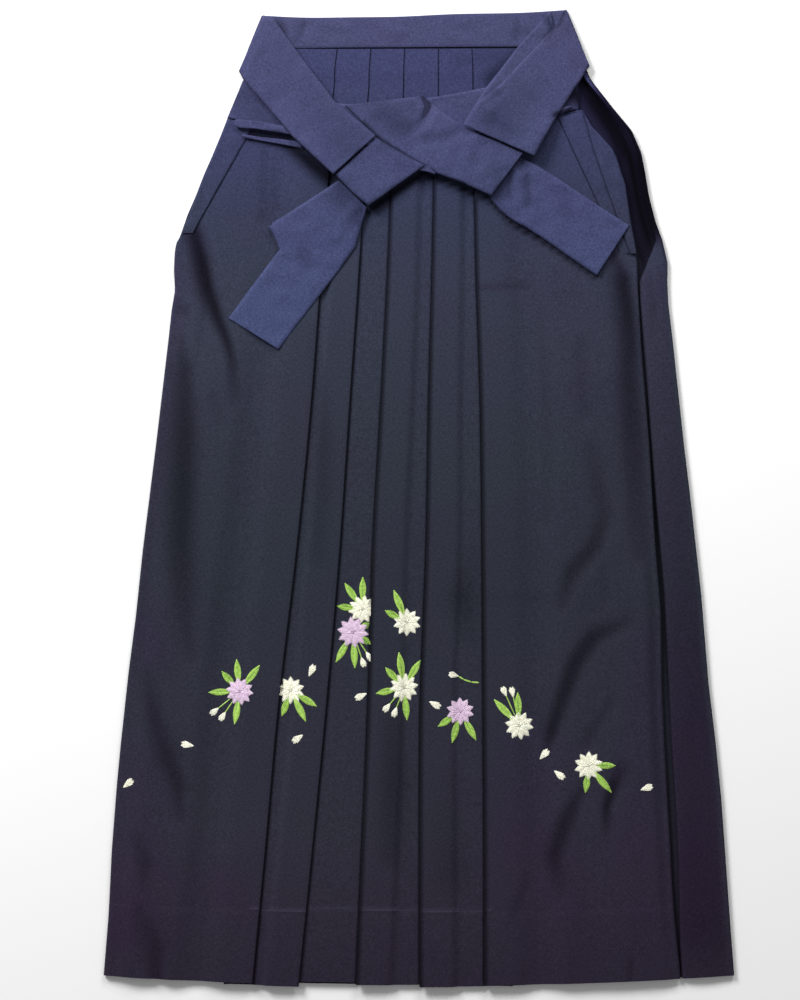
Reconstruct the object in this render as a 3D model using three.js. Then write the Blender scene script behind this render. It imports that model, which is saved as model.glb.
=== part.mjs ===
// Women's hakama, laid flat with its front up.
//
// Millimetres. +Z is up, +Y runs from the hem to the waist and +X to the right as seen from above.
// The origin is under the middle of the garment, on the surface that it lies on.
// Every piece of cloth is a closed wall: a section is worked out at each row of a short table,
// and the rows are joined by a loft.

import * as THREE from 'three';

// ---------- driving dimensions ----------

const CLOTH = 1.2;            // thickness of one layer of skirt cloth
const LAYER = 1.5;            // from one layer to the next in a pleat
const BAND = 2.6;             // thickness of a stiffened waistband
const TIE = 2.4;              // thickness of one folded tie
const SEAM = 0.3;             // gap between two pieces that are sewn together
const BACK_TOP = 3.0;         // highest point of the back panel under the front
const FRONT_BASE = BACK_TOP + SEAM;
const FOLD = LAYER / 2;       // radius of the turn at the edge of a pleat
const BUNDLE_BASE = 7.9;      // where the folded ties lie on the pleats
const BUNDLE_OVER = 10.9;     // underside of the bundle where it covers its own tails
const HALF_WIDTH = 337;       // from the middle of the hem to either corner
const HEM_DROP = 11;          // how far the hem hangs below its two corners
const RAMP_FOOT = 12;         // how far before a pleat's hidden layers the cloth starts to rise
const RAMP_HEAD = 3;          // and how far before them it is at their height
const OUTER_FOLD = 2.4;       // how far the rounding of the back panel's outer fold goes in
const OUTER_ROUND = 0.7;      // how far its steep part goes in
const STRAP_ROUND = 1.6;      // widest rounding along the edge of a tie
const BAND_ROUND = 0.8;       // rounding along the edges of the front waistband
const FACING_INSET = 0.5;     // from the front panel's edge to the turned cloth on it
const FACING_DROP = 8;        // how far the turned cloth starts below the waistband

const COLOURS = { skirt: 0x2a2d3a, slit: 0x3e4160, waist: 0x4a4d74 };

// ---------- tables ----------

// Front panel: edges and the five pleat edges at each row, from the waistband down to the hem.
// smile is how much a row follows the curved waistband, hem how much it follows the bowed hem.
const FRONT_ROWS = [
  { y: 388, left: -201, a: -94, b: -54, c: -25, d: 18, e: 57, right: 170, tuck: 22, smile: 1, hem: 0 },
  { y: 357, left: -220, a: -96, b: -57, c: -27, d: 17, e: 58, right: 206, tuck: 22, smile: 0.6, hem: 0 },
  { y: 318, left: -238, a: -99, b: -60, c: -30, d: 16, e: 60, right: 221, tuck: 23, smile: 0.3, hem: 0 },
  { y: 266, left: -260, a: -103, b: -63, c: -32, d: 15, e: 61, right: 231, tuck: 24, smile: 0, hem: 0 },
  { y: 210, left: -263, a: -108, b: -68, c: -35, d: 13, e: 64, right: 236, tuck: 25, smile: 0, hem: 0 },
  { y: 106, left: -275, a: -115, b: -74, c: -40, d: 11, e: 66, right: 244, tuck: 26, smile: 0, hem: 0 },
  { y: 25, left: -285, a: -123, b: -79, c: -44, d: 10, e: 67, right: 250, tuck: 27, smile: 0, hem: 0 },
  { y: -55, left: -295, a: -131, b: -85, c: -49, d: 8, e: 68, right: 256, tuck: 28, smile: 0, hem: 0 },
  { y: -215, left: -315, a: -150, b: -99, c: -54, d: 2, e: 69, right: 264, tuck: 29, smile: 0, hem: 0.3 },
  { y: -376, left: -328, a: -165, b: -115, c: -61, d: 1, e: 70, right: 273, tuck: 30, smile: 0, hem: 0.7 },
  { y: -509, left: -337, a: -178, b: -129, c: -67, d: 1, e: 70, right: 280, tuck: 30, smile: 0, hem: 1 },
];

// Back panel: right is its outer fold, seam where the part that wraps to the front ends,
// pleat_mid and pleat_step place the five inner pleats, lift is its underside.
const BACK_ROWS = [
  { y: 481, left: -160, right: 170, seam: 163, pleat_mid: -16, pleat_step: 36, lift: 1.5, tooth: 0.3 },
  { y: 453, left: -186, right: 181, seam: 174, pleat_mid: -17, pleat_step: 37, lift: 1.5, tooth: 0.3 },
  { y: 447, left: -186, right: 184, seam: 177, pleat_mid: -17, pleat_step: 37, lift: 0, tooth: 1.2 },
  { y: 419, left: -192, right: 206, seam: 199, pleat_mid: -18, pleat_step: 38, lift: 0, tooth: 1.2 },
  { y: 394, left: -204, right: 227, seam: 220, pleat_mid: -18, pleat_step: 39, lift: 0, tooth: 1.2 },
  { y: 360, left: -222, right: 238, seam: 231, pleat_mid: -19, pleat_step: 40, lift: 0, tooth: 1.2 },
  { y: 318, left: -237, right: 246, seam: 238, pleat_mid: -20, pleat_step: 42, lift: 0, tooth: 1.2 },
  { y: 266, left: -258, right: 262, seam: 240, pleat_mid: -21, pleat_step: 44, lift: 0, tooth: 1.2 },
  { y: 245, left: -260, right: 265, seam: 235, pleat_mid: -21, pleat_step: 45, lift: 0, tooth: 1.2 },
  { y: 210, left: -262, right: 266, seam: 236, pleat_mid: -22, pleat_step: 47, lift: 0, tooth: 1.2 },
  { y: 106, left: -273, right: 277, seam: 244, pleat_mid: -24, pleat_step: 52, lift: 0, tooth: 1.2 },
  { y: -55, left: -293, right: 295, seam: 256, pleat_mid: -28, pleat_step: 60, lift: 0, tooth: 1.2 },
  { y: -215, left: -313, right: 311, seam: 264, pleat_mid: -32, pleat_step: 64, lift: 0, tooth: 1.2 },
  { y: -376, left: -326, right: 326, seam: 273, pleat_mid: -36, pleat_step: 66, lift: 0, tooth: 1.2 },
  { y: -509, left: -335, right: 337, seam: 280, pleat_mid: -38, pleat_step: 68, lift: 0, tooth: 1.2 },
];

// Front waistband: its upper and lower edge at each station, from its left end to its right end.
const FRONT_BAND = [
  { top_x: -188, top_y: 447, low_x: -201, low_y: 405 },
  { top_x: -137, top_y: 434, low_x: -140, low_y: 391 },
  { top_x: -79, top_y: 422, low_x: -80, low_y: 377 },
  { top_x: -23, top_y: 424, low_x: -23, low_y: 379 },
  { top_x: 33, top_y: 432, low_x: 35, low_y: 387 },
  { top_x: 90, top_y: 443, low_x: 96, low_y: 398 },
  { top_x: 170, top_y: 451, low_x: 170, low_y: 416 },
];
const FRONT_BAND_STATIONS = 16;

// Back waistband: the height of its upper edge and of the edge where the skirt is sewn on.
// The band turns over at both ends along a slanted fold.
const BACK_BAND = [
  { x: -168, top: 517, ledge: 482 },
  { x: -125, top: 515, ledge: 482 },
  { x: -20, top: 515, ledge: 483 },
  { x: 33, top: 518, ledge: 483 },
  { x: 119, top: 520, ledge: 484 },
  { x: 158, top: 523, ledge: 484 },
];
const BACK_BAND_HEIGHT = 60;
const BACK_BAND_SLANT = 0.41;  // how far an end leans outwards for each millimetre down
const BACK_FLANGE = 1.2;       // the band's outer layer, which runs on under the skirt

// Ties: for each station, the two edges of the strip, its underside and its height.
// near is the edge on the hem side, far the edge on the waist side.
const BACK_TIE_LEFT = [
  { near: [-192, 457], far: [-168, 517], base: 3.0, height: TIE },
  { near: [-189, 452], far: [-163, 514], base: 6.2, height: TIE },
  { near: [-164, 420], far: [-124, 470], base: 6.2, height: TIE },
  { near: [-139, 392], far: [-89, 423], base: 10.6, height: TIE },
  { near: [-112, 363], far: [-62, 400], base: 15.0, height: TIE },
  { near: [-91, 345], far: [-45, 386], base: 16.4, height: TIE },
];
const BACK_TIE_RIGHT = [
  { near: [183, 463], far: [158, 522], base: 4.9, height: TIE },
  { near: [180, 458], far: [152, 515], base: 6.2, height: TIE },
  { near: [151, 415], far: [97, 455], base: 9.5, height: TIE },
  { near: [136, 391], far: [58, 419], base: 15.2, height: TIE },
  { near: [122, 367], far: [46, 398], base: 16.4, height: TIE },
];
const CENTRE_TIE = [
  { near: [-78, 421], far: [5, 429], base: 6.2, height: 2.4 },
  { near: [-43, 386], far: [24, 415], base: 8.4, height: 5 },
  { near: [6, 356], far: [62, 389], base: 10, height: 6 },
  { near: [18, 348], far: [87, 379], base: BUNDLE_OVER, height: 5.1 },
  { near: [77, 325], far: [110, 367], base: BUNDLE_OVER, height: 5.1 },
];
const TIE_SQUARE = [
  { near: [-89, 344], far: [-45, 384], base: BUNDLE_OVER, height: 5.1 },
  { near: [-71, 327], far: [-19, 370], base: BUNDLE_OVER, height: 5.1 },
  { near: [-55, 311], far: [5, 355], base: BUNDLE_OVER, height: 5.1 },
];
const LEFT_TAIL = [
  { near: [-66, 314], far: [-84, 334], base: BUNDLE_BASE, height: 2.6 },
  { near: [-60, 282], far: [-114, 325], base: BUNDLE_BASE, height: 2.6 },
  { near: [-72, 260], far: [-159, 298], base: BUNDLE_BASE, height: 2.6 },
  { near: [-91, 235], far: [-146, 272], base: BUNDLE_BASE, height: 2.6 },
  { near: [-121, 197], far: [-174, 230], base: BUNDLE_BASE, height: 2.6 },
  { near: [-149, 160], far: [-200, 193], base: BUNDLE_BASE, height: 2.6 },
];
const RIGHT_TAIL = [
  { near: [70, 330], far: [97, 368], base: BUNDLE_BASE, height: 2.6 },
  { near: [78, 320], far: [112, 364], base: BUNDLE_BASE, height: 2.6 },
  { near: [88, 304], far: [131, 352], base: BUNDLE_BASE, height: 2.6 },
  { near: [123, 284], far: [163, 331], base: BUNDLE_BASE, height: 2.6 },
  { near: [154, 263], far: [194, 311], base: BUNDLE_BASE, height: 2.6 },
  { near: [189, 239], far: [224, 292], base: BUNDLE_BASE, height: 2.6 },
];
const FRONT_TIE_LEFT = [
  { near: [-192, 388], far: [-196, 402], base: 6.3, height: 3.6 },
  { near: [-160, 380], far: [-165, 399], base: 6.3, height: 3.6 },
  { near: [-132, 372], far: [-136, 393], base: 6.3, height: 3.6 },
];
const FRONT_TIE_RIGHT = [
  { near: [146, 408], far: [146, 420], base: 8.0, height: 1.2 },
  { near: [162, 411], far: [163, 418], base: 8.0, height: 1.2 },
];

// Turned cloth along the front's side slits: inner is where its stitched edge shows.
const LEFT_FACING = [
  { y: 396, inner: 21 },
  { y: 357, inner: 22 },
  { y: 318, inner: 22 },
  { y: 292, inner: 16 },
];
const RIGHT_FOLD_LOWER = [
  { y: 395, inner: 40 },
  { y: 357, inner: 42 },
  { y: 318, inner: 33 },
  { y: 266, inner: 20 },
];
const RIGHT_FOLD_UPPER = [
  { y: 395, inner: 12 },
  { y: 357, inner: 14 },
  { y: 318, inner: 16 },
  { y: 268, inner: 9 },
];

// ---------- small helpers ----------

function mix(a, b, t) {
  return a + (b - a) * t;
}

// A value of one column at a given place, along straight lines between a table's rows.
function lookUp(table, key, value, column) {
  const rows = [...table].sort((first, second) => first[key] - second[key]);
  const last = rows.length - 1;
  if (value <= rows[0][key]) return rows[0][column];
  if (value >= rows[last][key]) return rows[last][column];
  const upper = rows.findIndex((row) => row[key] >= value);
  const span = rows[upper][key] - rows[upper - 1][key];
  const t = (value - rows[upper - 1][key]) / span;
  return mix(rows[upper - 1][column], rows[upper][column], t);
}

// The same along a smooth curve, for a table whose key column rises from row to row.
function smoothLookUp(table, key, value, column) {
  const last = table.length - 1;
  const found = table.findIndex((row) => row[key] > value);
  const i = THREE.MathUtils.clamp((found < 0 ? last : found) - 1, 0, last - 1);
  const slope = (row) => {
    const before = table[Math.max(row - 1, 0)];
    const after = table[Math.min(row + 1, last)];
    return (after[column] - before[column]) / (after[key] - before[key]);
  };
  const span = table[i + 1][key] - table[i][key];
  const t = THREE.MathUtils.clamp((value - table[i][key]) / span, 0, 1);
  const ease = t * t * (3 - 2 * t);
  const bend = span * (slope(i) * t * (1 - t) ** 2 - slope(i + 1) * t * t * (1 - t));
  return mix(table[i][column], table[i + 1][column], ease) + bend;
}

// How far the front waistband's lower edge is above or below the first row of the front panel.
function smileAt(x) {
  return smoothLookUp(FRONT_BAND, 'low_x', x, 'low_y') - FRONT_ROWS[0].y;
}

// How far the hem hangs below its two corners.
function hemDrop(x) {
  return HEM_DROP * (1 - (x / HALF_WIDTH) ** 2);
}

function colourOf(name) {
  return new THREE.MeshStandardMaterial({ color: COLOURS[name], roughness: 0.85, metalness: 0 });
}

// The triangles that close a ring that bulges out all round.
function fanCap(ring) {
  return ring.slice(2).map((point, i) => [0, i + 1, i + 2]);
}

// The triangles that close the outline of a wall, whose two sides have the same number of points.
function ladderCap(ring) {
  const last = ring.length - 1;
  const steps = ring.length / 2 - 1;
  return Array.from({ length: steps }, (unused, i) => [
    [i, i + 1, last - i - 1],
    [i, last - i - 1, last - i],
  ]).flat();
}

// The triangles that close any other ring, seen along the axis that flatten takes away.
function shapeCap(flatten) {
  return (ring) => THREE.ShapeUtils.triangulateShape(ring.map(flatten), [])
    .map((corners) => [...corners].sort((first, second) => first - second));
}

// Joins closed rings of points into one closed surface, with a cap at each end.
function loftGeometry(rings, cap) {
  const count = rings[0].length;
  const positions = rings.flat().flatMap((point) => [point.x, point.y, point.z]);
  const index = [];
  for (let row = 0; row + 1 < rings.length; row += 1) {
    for (let i = 0; i < count; i += 1) {
      const next = (i + 1) % count;
      const a = row * count + i;
      const b = row * count + next;
      index.push(a, b, a + count, b, b + count, a + count);
    }
  }
  const lastStart = (rings.length - 1) * count;
  cap(rings[0]).forEach(([a, b, c]) => index.push(a, c, b));
  cap(rings[rings.length - 1]).forEach(([a, b, c]) => {
    index.push(lastStart + a, lastStart + b, lastStart + c);
  });
  const geometry = new THREE.BufferGeometry();
  geometry.setAttribute('position', new THREE.Float32BufferAttribute(positions, 3));
  geometry.setIndex(index);
  return outwards(geometry);
}

// Turns every triangle round if the surface faces inwards.
function outwards(geometry) {
  const position = geometry.getAttribute('position');
  const index = geometry.getIndex();
  const corner = [new THREE.Vector3(), new THREE.Vector3(), new THREE.Vector3()];
  let volume = 0;
  for (let i = 0; i < index.count; i += 3) {
    corner.forEach((point, k) => point.fromBufferAttribute(position, index.getX(i + k)));
    volume += corner[0].dot(corner[1].clone().cross(corner[2]));
  }
  if (volume < 0) {
    for (let i = 0; i < index.count; i += 3) {
      const second = index.getX(i + 1);
      index.setX(i + 1, index.getX(i + 2));
      index.setX(i + 2, second);
    }
  }
  geometry.computeVertexNormals();
  return geometry;
}

// The outline of a wall of cloth that follows a middle line of [across, up] points.
function wallOutline(line, thickness) {
  const side = (sign) => line.map((point, i) => {
    const before = line[Math.max(i - 1, 0)];
    const after = line[Math.min(i + 1, line.length - 1)];
    const into = new THREE.Vector2(point[0] - before[0], point[1] - before[1]);
    const out = new THREE.Vector2(after[0] - point[0], after[1] - point[1]);
    if (into.lengthSq() === 0) into.copy(out);
    if (out.lengthSq() === 0) out.copy(into);
    const normal = into.normalize().add(out.normalize()).normalize();
    const miter = (sign * thickness) / 2 / normal.dot(out);
    return [point[0] - normal.y * miter, point[1] + normal.x * miter];
  });
  return [...side(1), ...side(-1).reverse()];
}

// ---------- front panel ----------

// A knife pleat seen from the hem: the cloth comes in on top, turns under at edge,
// turns back at the tuck and goes on below. facing is 1 where the edge points right.
function pleatFold(edge, tuck, facing) {
  const top = FRONT_BASE + CLOTH / 2 + 2 * LAYER;
  const middle = top - LAYER;
  const bottom = middle - LAYER;
  const inner = edge - facing * tuck;
  const turn = facing * FOLD;
  return [
    [edge - turn, top],
    [edge, top - FOLD],
    [edge - turn, middle],
    [inner + turn, middle],
    [inner, bottom + FOLD],
    [inner + turn, bottom],
  ];
}

// The slope that carries the cloth up over the hidden layers of a pleat.
function pleatRamp(edge, tuck, facing) {
  const low = FRONT_BASE + CLOTH / 2;
  const inner = edge - facing * tuck;
  return [
    [inner - facing * RAMP_FOOT, low],
    [inner - facing * RAMP_HEAD, low + 2 * LAYER],
  ];
}

function frontLine(row) {
  const low = FRONT_BASE + CLOTH / 2;
  const leftStart = row.a - row.tuck;
  const rightEnd = row.e + row.tuck;
  const leftPleats = [row.a, row.b].flatMap((edge) => [
    ...pleatRamp(edge, row.tuck, 1),
    ...pleatFold(edge, row.tuck, 1),
  ]);
  const rightPleats = [row.c, row.d, row.e].flatMap((edge) => [
    ...pleatFold(edge, row.tuck, -1).reverse(),
    ...pleatRamp(edge, row.tuck, -1).reverse(),
  ]);
  return [
    [row.left, low],
    [mix(row.left, leftStart, 0.4), low],
    ...leftPleats,
    [mix(row.b, row.c, 0.5), low],
    ...rightPleats,
    [mix(rightEnd, row.right, 0.4), low],
    [mix(rightEnd, row.right, 0.7), low],
    [row.right, low],
  ];
}

function frontPanel() {
  const rings = FRONT_ROWS.map((row) => wallOutline(frontLine(row), CLOTH).map(([x, z]) => {
    const y = row.y + row.smile * (smileAt(x) - 2 * SEAM) - row.hem * hemDrop(x);
    return new THREE.Vector3(x, y, z);
  }));
  return loftGeometry(rings, ladderCap);
}

// ---------- back panel ----------

function backOutline(row) {
  const under = row.lift;
  const upper = row.lift + CLOTH;
  const wrapLow = FRONT_BASE;
  const wrapHigh = FRONT_BASE + CLOTH;
  const halfHeight = (wrapHigh + under) / 2;
  const straightEnd = row.right - OUTER_FOLD;
  const insideEnd = row.right - OUTER_FOLD - OUTER_ROUND;
  const teeth = [2, 1, 0, -1, -2].flatMap((place) => {
    const edge = row.pleat_mid + place * row.pleat_step;
    return [[edge + 1, upper], [edge, upper + row.tooth]];
  });
  return [
    [row.left, under],
    [straightEnd, under],
    [row.right - OUTER_ROUND, under + OUTER_ROUND],
    [row.right, halfHeight],
    [row.right - OUTER_ROUND, wrapHigh - OUTER_ROUND],
    [straightEnd, wrapHigh],
    [row.seam + SEAM, wrapHigh],
    [row.seam + SEAM, wrapLow],
    [insideEnd, wrapLow],
    [insideEnd + 1, (wrapLow + upper) / 2],
    [insideEnd, upper],
    ...teeth,
    [row.left, upper],
  ];
}

function backPanel() {
  const rings = BACK_ROWS.map((row) => backOutline(row).map(([x, z]) => {
    const atHem = row === BACK_ROWS[BACK_ROWS.length - 1];
    const y = atHem ? row.y - hemDrop(x) + 1 : row.y;
    return new THREE.Vector3(x, y, z);
  }));
  return loftGeometry(rings, shapeCap((point) => new THREE.Vector2(point.x, point.z)));
}

// ---------- waistbands ----------

function frontWaistband() {
  const low = FRONT_BASE;
  const high = FRONT_BASE + BAND;
  const first = FRONT_BAND[0];
  const last = FRONT_BAND[FRONT_BAND.length - 1];
  const rings = Array.from({ length: FRONT_BAND_STATIONS }, (unused, i) => {
    const t = i / (FRONT_BAND_STATIONS - 1);
    const topX = mix(first.top_x, last.top_x, t);
    const lowX = mix(first.low_x, last.low_x, t);
    const top = new THREE.Vector2(topX, smoothLookUp(FRONT_BAND, 'top_x', topX, 'top_y'));
    const bottom = new THREE.Vector2(lowX, smoothLookUp(FRONT_BAND, 'low_x', lowX, 'low_y'));
    const at = (up, z) => new THREE.Vector3(mix(bottom.x, top.x, up), mix(bottom.y, top.y, up), z);
    return [
      at(0, low),
      at(1, low),
      at(1, high - BAND_ROUND),
      at(0.98, high),
      at(0.02, high),
      at(0, high - BAND_ROUND),
    ];
  });
  return loftGeometry(rings, fanCap);
}

function backWaistband() {
  const half = (BACK_BAND[0].x + BACK_BAND[BACK_BAND.length - 1].x) / 2;
  const halfWidth = BACK_BAND[BACK_BAND.length - 1].x - half;
  const rings = BACK_BAND.map((station) => {
    const lean = (y) => ((station.x - half) / halfWidth) * BACK_BAND_SLANT * (station.top - y);
    const at = (y, z) => new THREE.Vector3(station.x + lean(y), y, z);
    const bottom = station.top - BACK_BAND_HEIGHT;
    return [
      at(station.top, 0),
      at(station.top, BAND),
      at(station.ledge, BAND),
      at(station.ledge, BACK_FLANGE),
      at(bottom, BACK_FLANGE),
      at(bottom, 0),
    ];
  });
  return loftGeometry(rings, shapeCap((point) => new THREE.Vector2(point.y, point.z)));
}

// ---------- ties ----------

// A flat strip with rounded long edges, through the stations of a tie's table.
function tie(stations) {
  const rings = stations.map(({ near, far, base, height }) => {
    const width = Math.hypot(far[0] - near[0], far[1] - near[1]);
    const round = Math.min(height / 2, STRAP_ROUND) / width;
    const at = (t, z) => new THREE.Vector3(mix(near[0], far[0], t), mix(near[1], far[1], t), z);
    return [
      at(round, base),
      at(1 - round, base),
      at(1, base + height / 2),
      at(1 - round, base + height),
      at(0.5, base + height),
      at(round, base + height),
      at(0, base + height / 2),
    ];
  });
  return loftGeometry(rings, fanCap);
}

// ---------- turned cloth at the slits ----------

// A strip along one edge of the front panel, made from the panel's own edge and moved out of it.
// inward is 1 for the left edge and -1 for the right edge.
function slitStrip(table, edge, inward, base) {
  const rings = table.map((row) => {
    const outer = lookUp(FRONT_ROWS, 'y', row.y, edge) + inward * FACING_INSET;
    const inner = outer + inward * row.inner;
    const smile = lookUp(FRONT_ROWS, 'y', row.y, 'smile');
    const at = (x, z) => new THREE.Vector3(x, row.y + smile * (smileAt(x) - FACING_DROP), z);
    return [
      at(outer, base),
      at(inner, base),
      at(inner, base + CLOTH),
      at(outer, base + CLOTH),
    ];
  });
  return loftGeometry(rings, fanCap);
}

// ---------- assembly ----------

const hakama = new THREE.Group();

function add(name, geometry, colour) {
  const mesh = new THREE.Mesh(geometry, colourOf(colour));
  mesh.name = name;
  hakama.add(mesh);
}

const FACING_BASE = FRONT_BASE + CLOTH + SEAM;

add('back_panel', backPanel(), 'skirt');
add('front_panel', frontPanel(), 'skirt');
add('back_waistband', backWaistband(), 'waist');
add('front_waistband', frontWaistband(), 'waist');
add('slit_facing_left', slitStrip(LEFT_FACING, 'left', 1, FACING_BASE), 'slit');
add('slit_fold_right_lower', slitStrip(RIGHT_FOLD_LOWER, 'right', -1, FACING_BASE), 'slit');
add('slit_fold_right_upper', slitStrip(RIGHT_FOLD_UPPER, 'right', -1, FACING_BASE + LAYER), 'slit');
add('front_tie_left_folded', tie(FRONT_TIE_LEFT), 'waist');
add('front_tie_right_folded', tie(FRONT_TIE_RIGHT), 'waist');
add('front_tie_left_tail', tie(LEFT_TAIL), 'waist');
add('front_tie_right_tail', tie(RIGHT_TAIL), 'waist');
add('front_tie_square', tie(TIE_SQUARE), 'waist');
add('front_tie_centre', tie(CENTRE_TIE), 'waist');
add('back_tie_left', tie(BACK_TIE_LEFT), 'waist');
add('back_tie_right', tie(BACK_TIE_RIGHT), 'waist');

export default hakama;
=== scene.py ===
"""Women's hakama laid flat with its ties folded in front: the looks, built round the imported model.

Metres, in the model's own frame: +Y from hem to waist, +Z up out of the front, origin underneath.
Each piece of cloth is a thin closed wall with the form of its CAD solid, made of fine rows. Its
folds are short tables, and the embroidery is real satin stitches.
"""

import math

import bpy
import numpy as np
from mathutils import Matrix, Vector
from mathutils.bvhtree import BVHTree


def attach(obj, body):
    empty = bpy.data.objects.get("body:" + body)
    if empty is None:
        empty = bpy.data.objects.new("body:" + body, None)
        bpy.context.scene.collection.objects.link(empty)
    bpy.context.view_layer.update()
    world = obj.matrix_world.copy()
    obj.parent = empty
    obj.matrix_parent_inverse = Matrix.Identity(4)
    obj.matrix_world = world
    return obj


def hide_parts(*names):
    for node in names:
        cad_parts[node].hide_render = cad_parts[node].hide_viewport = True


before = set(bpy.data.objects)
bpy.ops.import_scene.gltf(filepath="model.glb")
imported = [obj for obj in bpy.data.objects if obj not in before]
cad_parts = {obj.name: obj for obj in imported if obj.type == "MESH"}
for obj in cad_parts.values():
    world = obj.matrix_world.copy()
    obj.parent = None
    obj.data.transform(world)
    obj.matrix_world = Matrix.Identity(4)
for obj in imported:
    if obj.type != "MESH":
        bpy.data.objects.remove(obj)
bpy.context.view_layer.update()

# ---------- sizes ----------

CLOTH = 0.0011          # one layer of skirt cloth
LAYER = 0.0015          # from one layer of a pleat to the next
FOLD = LAYER / 2        # radius of a pleat's edge
GROOVE = 0.0013         # how far the layer below sinks along a pleat's edge
BACK_LOW = 0.0006       # middle of the back panel's lower layer
FRONT_LOW = 0.0039      # middle of the front panel where it lies on the back
FRONT_LIFT = 0.0042     # how far the loose side panels stand off the back
BAND_BASE = 0.0033      # underside of the front waistband
BAND = 0.0026           # thickness of a waistband
ROW_STEP = 0.0052       # from one row of a panel to the next
HALF_WIDTH = 0.337      # half the hem's width
HEM_DROP = 0.011        # how far the middle of the hem hangs below its corners
HEM_TURN = 0.078        # depth of the hem that is turned up inside
HEM_Y = -0.509          # the hem's two corners
FRONT_TOP = 0.388       # mean height of the front waistband's lower edge
WAIST_TOP = 0.523       # top of the back waistband

PLUM = (1.04, 0.70, 0.98)    # the colour's multiplier where the dye fades to plum, and in plum painted shade
FOLD_SHARPNESS = 2.2         # 2 is a bell across a fold, more is flatter in the middle


# ---------- small helpers ----------

def table(columns, rows):
    """A short table as named columns. A row may leave off its last values where they are 0."""
    names = columns.split()
    filled = [tuple(row) + (0,) * (len(names) - len(row)) for row in rows]
    return {name: np.array([row[i] for row in filled], float) for i, name in enumerate(names)}


def ease(t):
    """From 0 to 1 with level ends."""
    t = np.clip(t, 0, 1)
    return t * t * (3 - 2 * t)


def straight(columns, key, column, at):
    """A column's value along straight lines between the table's rows."""
    order = np.argsort(columns[key])
    return np.interp(at, columns[key][order], columns[column][order])


def smooth(columns, key, column, at):
    """A column's value along a smooth curve through the table's rows."""
    order = np.argsort(columns[key])
    keys = columns[key][order]
    values = columns[column][order]
    slopes = np.gradient(values, keys)
    at = np.clip(at, keys[0], keys[-1])
    i = np.clip(np.searchsorted(keys, at) - 1, 0, len(keys) - 2)
    span = keys[i + 1] - keys[i]
    t = (at - keys[i]) / span
    bend = span * (slopes[i] * t * (1 - t) ** 2 - slopes[i + 1] * t * t * (1 - t))
    return values[i] + (values[i + 1] - values[i]) * ease(t) + bend


FOLD_COLUMNS = "fold x y width depth shade plum skew"


def fold_fields(x, y, folds):
    """What a table of folds does at x, y: a height, a painted shade and a plum tint.

    Rows with the same fold number are one chain from its upper end down. width is the reach to
    either side, and skew makes it narrower on the +X side. Where folds meet, the strongest counts.
    """
    shape = np.broadcast(x, y).shape
    sunk, raised, shade, plum = (np.zeros(shape) for _ in range(4))
    rows = list(zip(*(folds[name] for name in FOLD_COLUMNS.split())))
    for first, second in zip(rows[:-1], rows[1:]):
        if first[0] != second[0]:
            continue
        _, x0, y0, *start = first
        _, x1, y1, *end = second
        dx, dy = x1 - x0, y1 - y0
        t = np.clip(((x - x0) * dx + (y - y0) * dy) / (dx * dx + dy * dy), 0, 1)
        away_x = x - x0 - t * dx
        away_y = y - y0 - t * dy
        east = away_y * dx - away_x * dy
        width, depth, dark, tint, skew = (low + (high - low) * t for low, high in zip(start, end))
        reach = width * (1 - skew * np.sign(east))
        strength = np.exp(-(np.hypot(away_x, away_y) / reach) ** FOLD_SHARPNESS)
        sunk = np.minimum(sunk, depth * strength)
        raised = np.maximum(raised, depth * strength)
        shade = np.maximum(shade, dark * strength)
        plum = np.maximum(plum, tint * strength)
    return sunk + raised, shade, plum


def painted_shade_tint(shade, plum=0.0):
    """The colour's multiplier: painted shade where cloth lies in deep shade, or plum where it has faded."""
    shade, plum = np.broadcast_arrays(shade, plum)
    tint = 1 + (np.array(PLUM) - 1) * plum[..., None]
    return (1 - shade)[..., None] * tint


def ripple(x, y, across, along, seed, waves=9):
    """A gentle unevenness, about 1 high: waves of seeded direction and phase."""
    random = np.random.default_rng(seed)
    total = np.zeros(np.broadcast(x, y).shape)
    for _ in range(waves):
        angle = random.uniform(0, 2 * math.pi)
        pitch = random.uniform(0.7, 1.6)
        phase = random.uniform(0, 2 * math.pi)
        place = np.cos(angle) * x / across + np.sin(angle) * y / along
        total += np.sin(pitch * place * 2 * math.pi + phase)
    return total / math.sqrt(waves)


# ---------- meshes ----------

def signed_volume(points, faces):
    """More than 0 where the faces point out, times six."""
    triangles = points[faces]
    return np.einsum("ij,ij->i", triangles[:, 0], np.cross(triangles[:, 1], triangles[:, 2])).sum()


def add_mesh(name, points, faces, material, sharp, flip=False):
    """A new object of these points and faces, smooth but for edges over so many degrees."""
    mesh = bpy.data.meshes.new(name)
    mesh.from_pydata(points.tolist(), [], faces)
    mesh.update()
    if flip:
        mesh.flip_normals()
    mesh.shade_smooth()
    mesh.set_sharp_from_angle(angle=math.radians(sharp))
    mesh.materials.append(material)
    piece = bpy.data.objects.new(name, mesh)
    bpy.context.scene.collection.objects.link(piece)
    return piece


def make_object(name, points, quads, material, sharp=50, painted_shade_tints=None):
    """A mesh object from numpy points and quads, facing outwards and shaded smooth.

    painted_shade_tints is the colour's multiplier at each point: painted shade and plum.
    """
    points = np.asarray(points, float)
    quads = np.asarray(quads, int)
    triangles = np.concatenate([quads[:, [0, 1, 2]], quads[:, [0, 2, 3]]])
    if signed_volume(points, triangles) < 0:
        quads = quads[:, ::-1]
    piece = add_mesh(name, points, quads.tolist(), material, sharp)
    colours = np.ones((len(points), 4))
    if painted_shade_tints is not None:
        colours[:, :3] = painted_shade_tints.reshape(-1, 3)
    layer = piece.data.color_attributes.new("painted_shade_tint", "FLOAT_COLOR", "POINT")
    layer.data.foreach_set("color", colours.ravel())
    return piece


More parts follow.
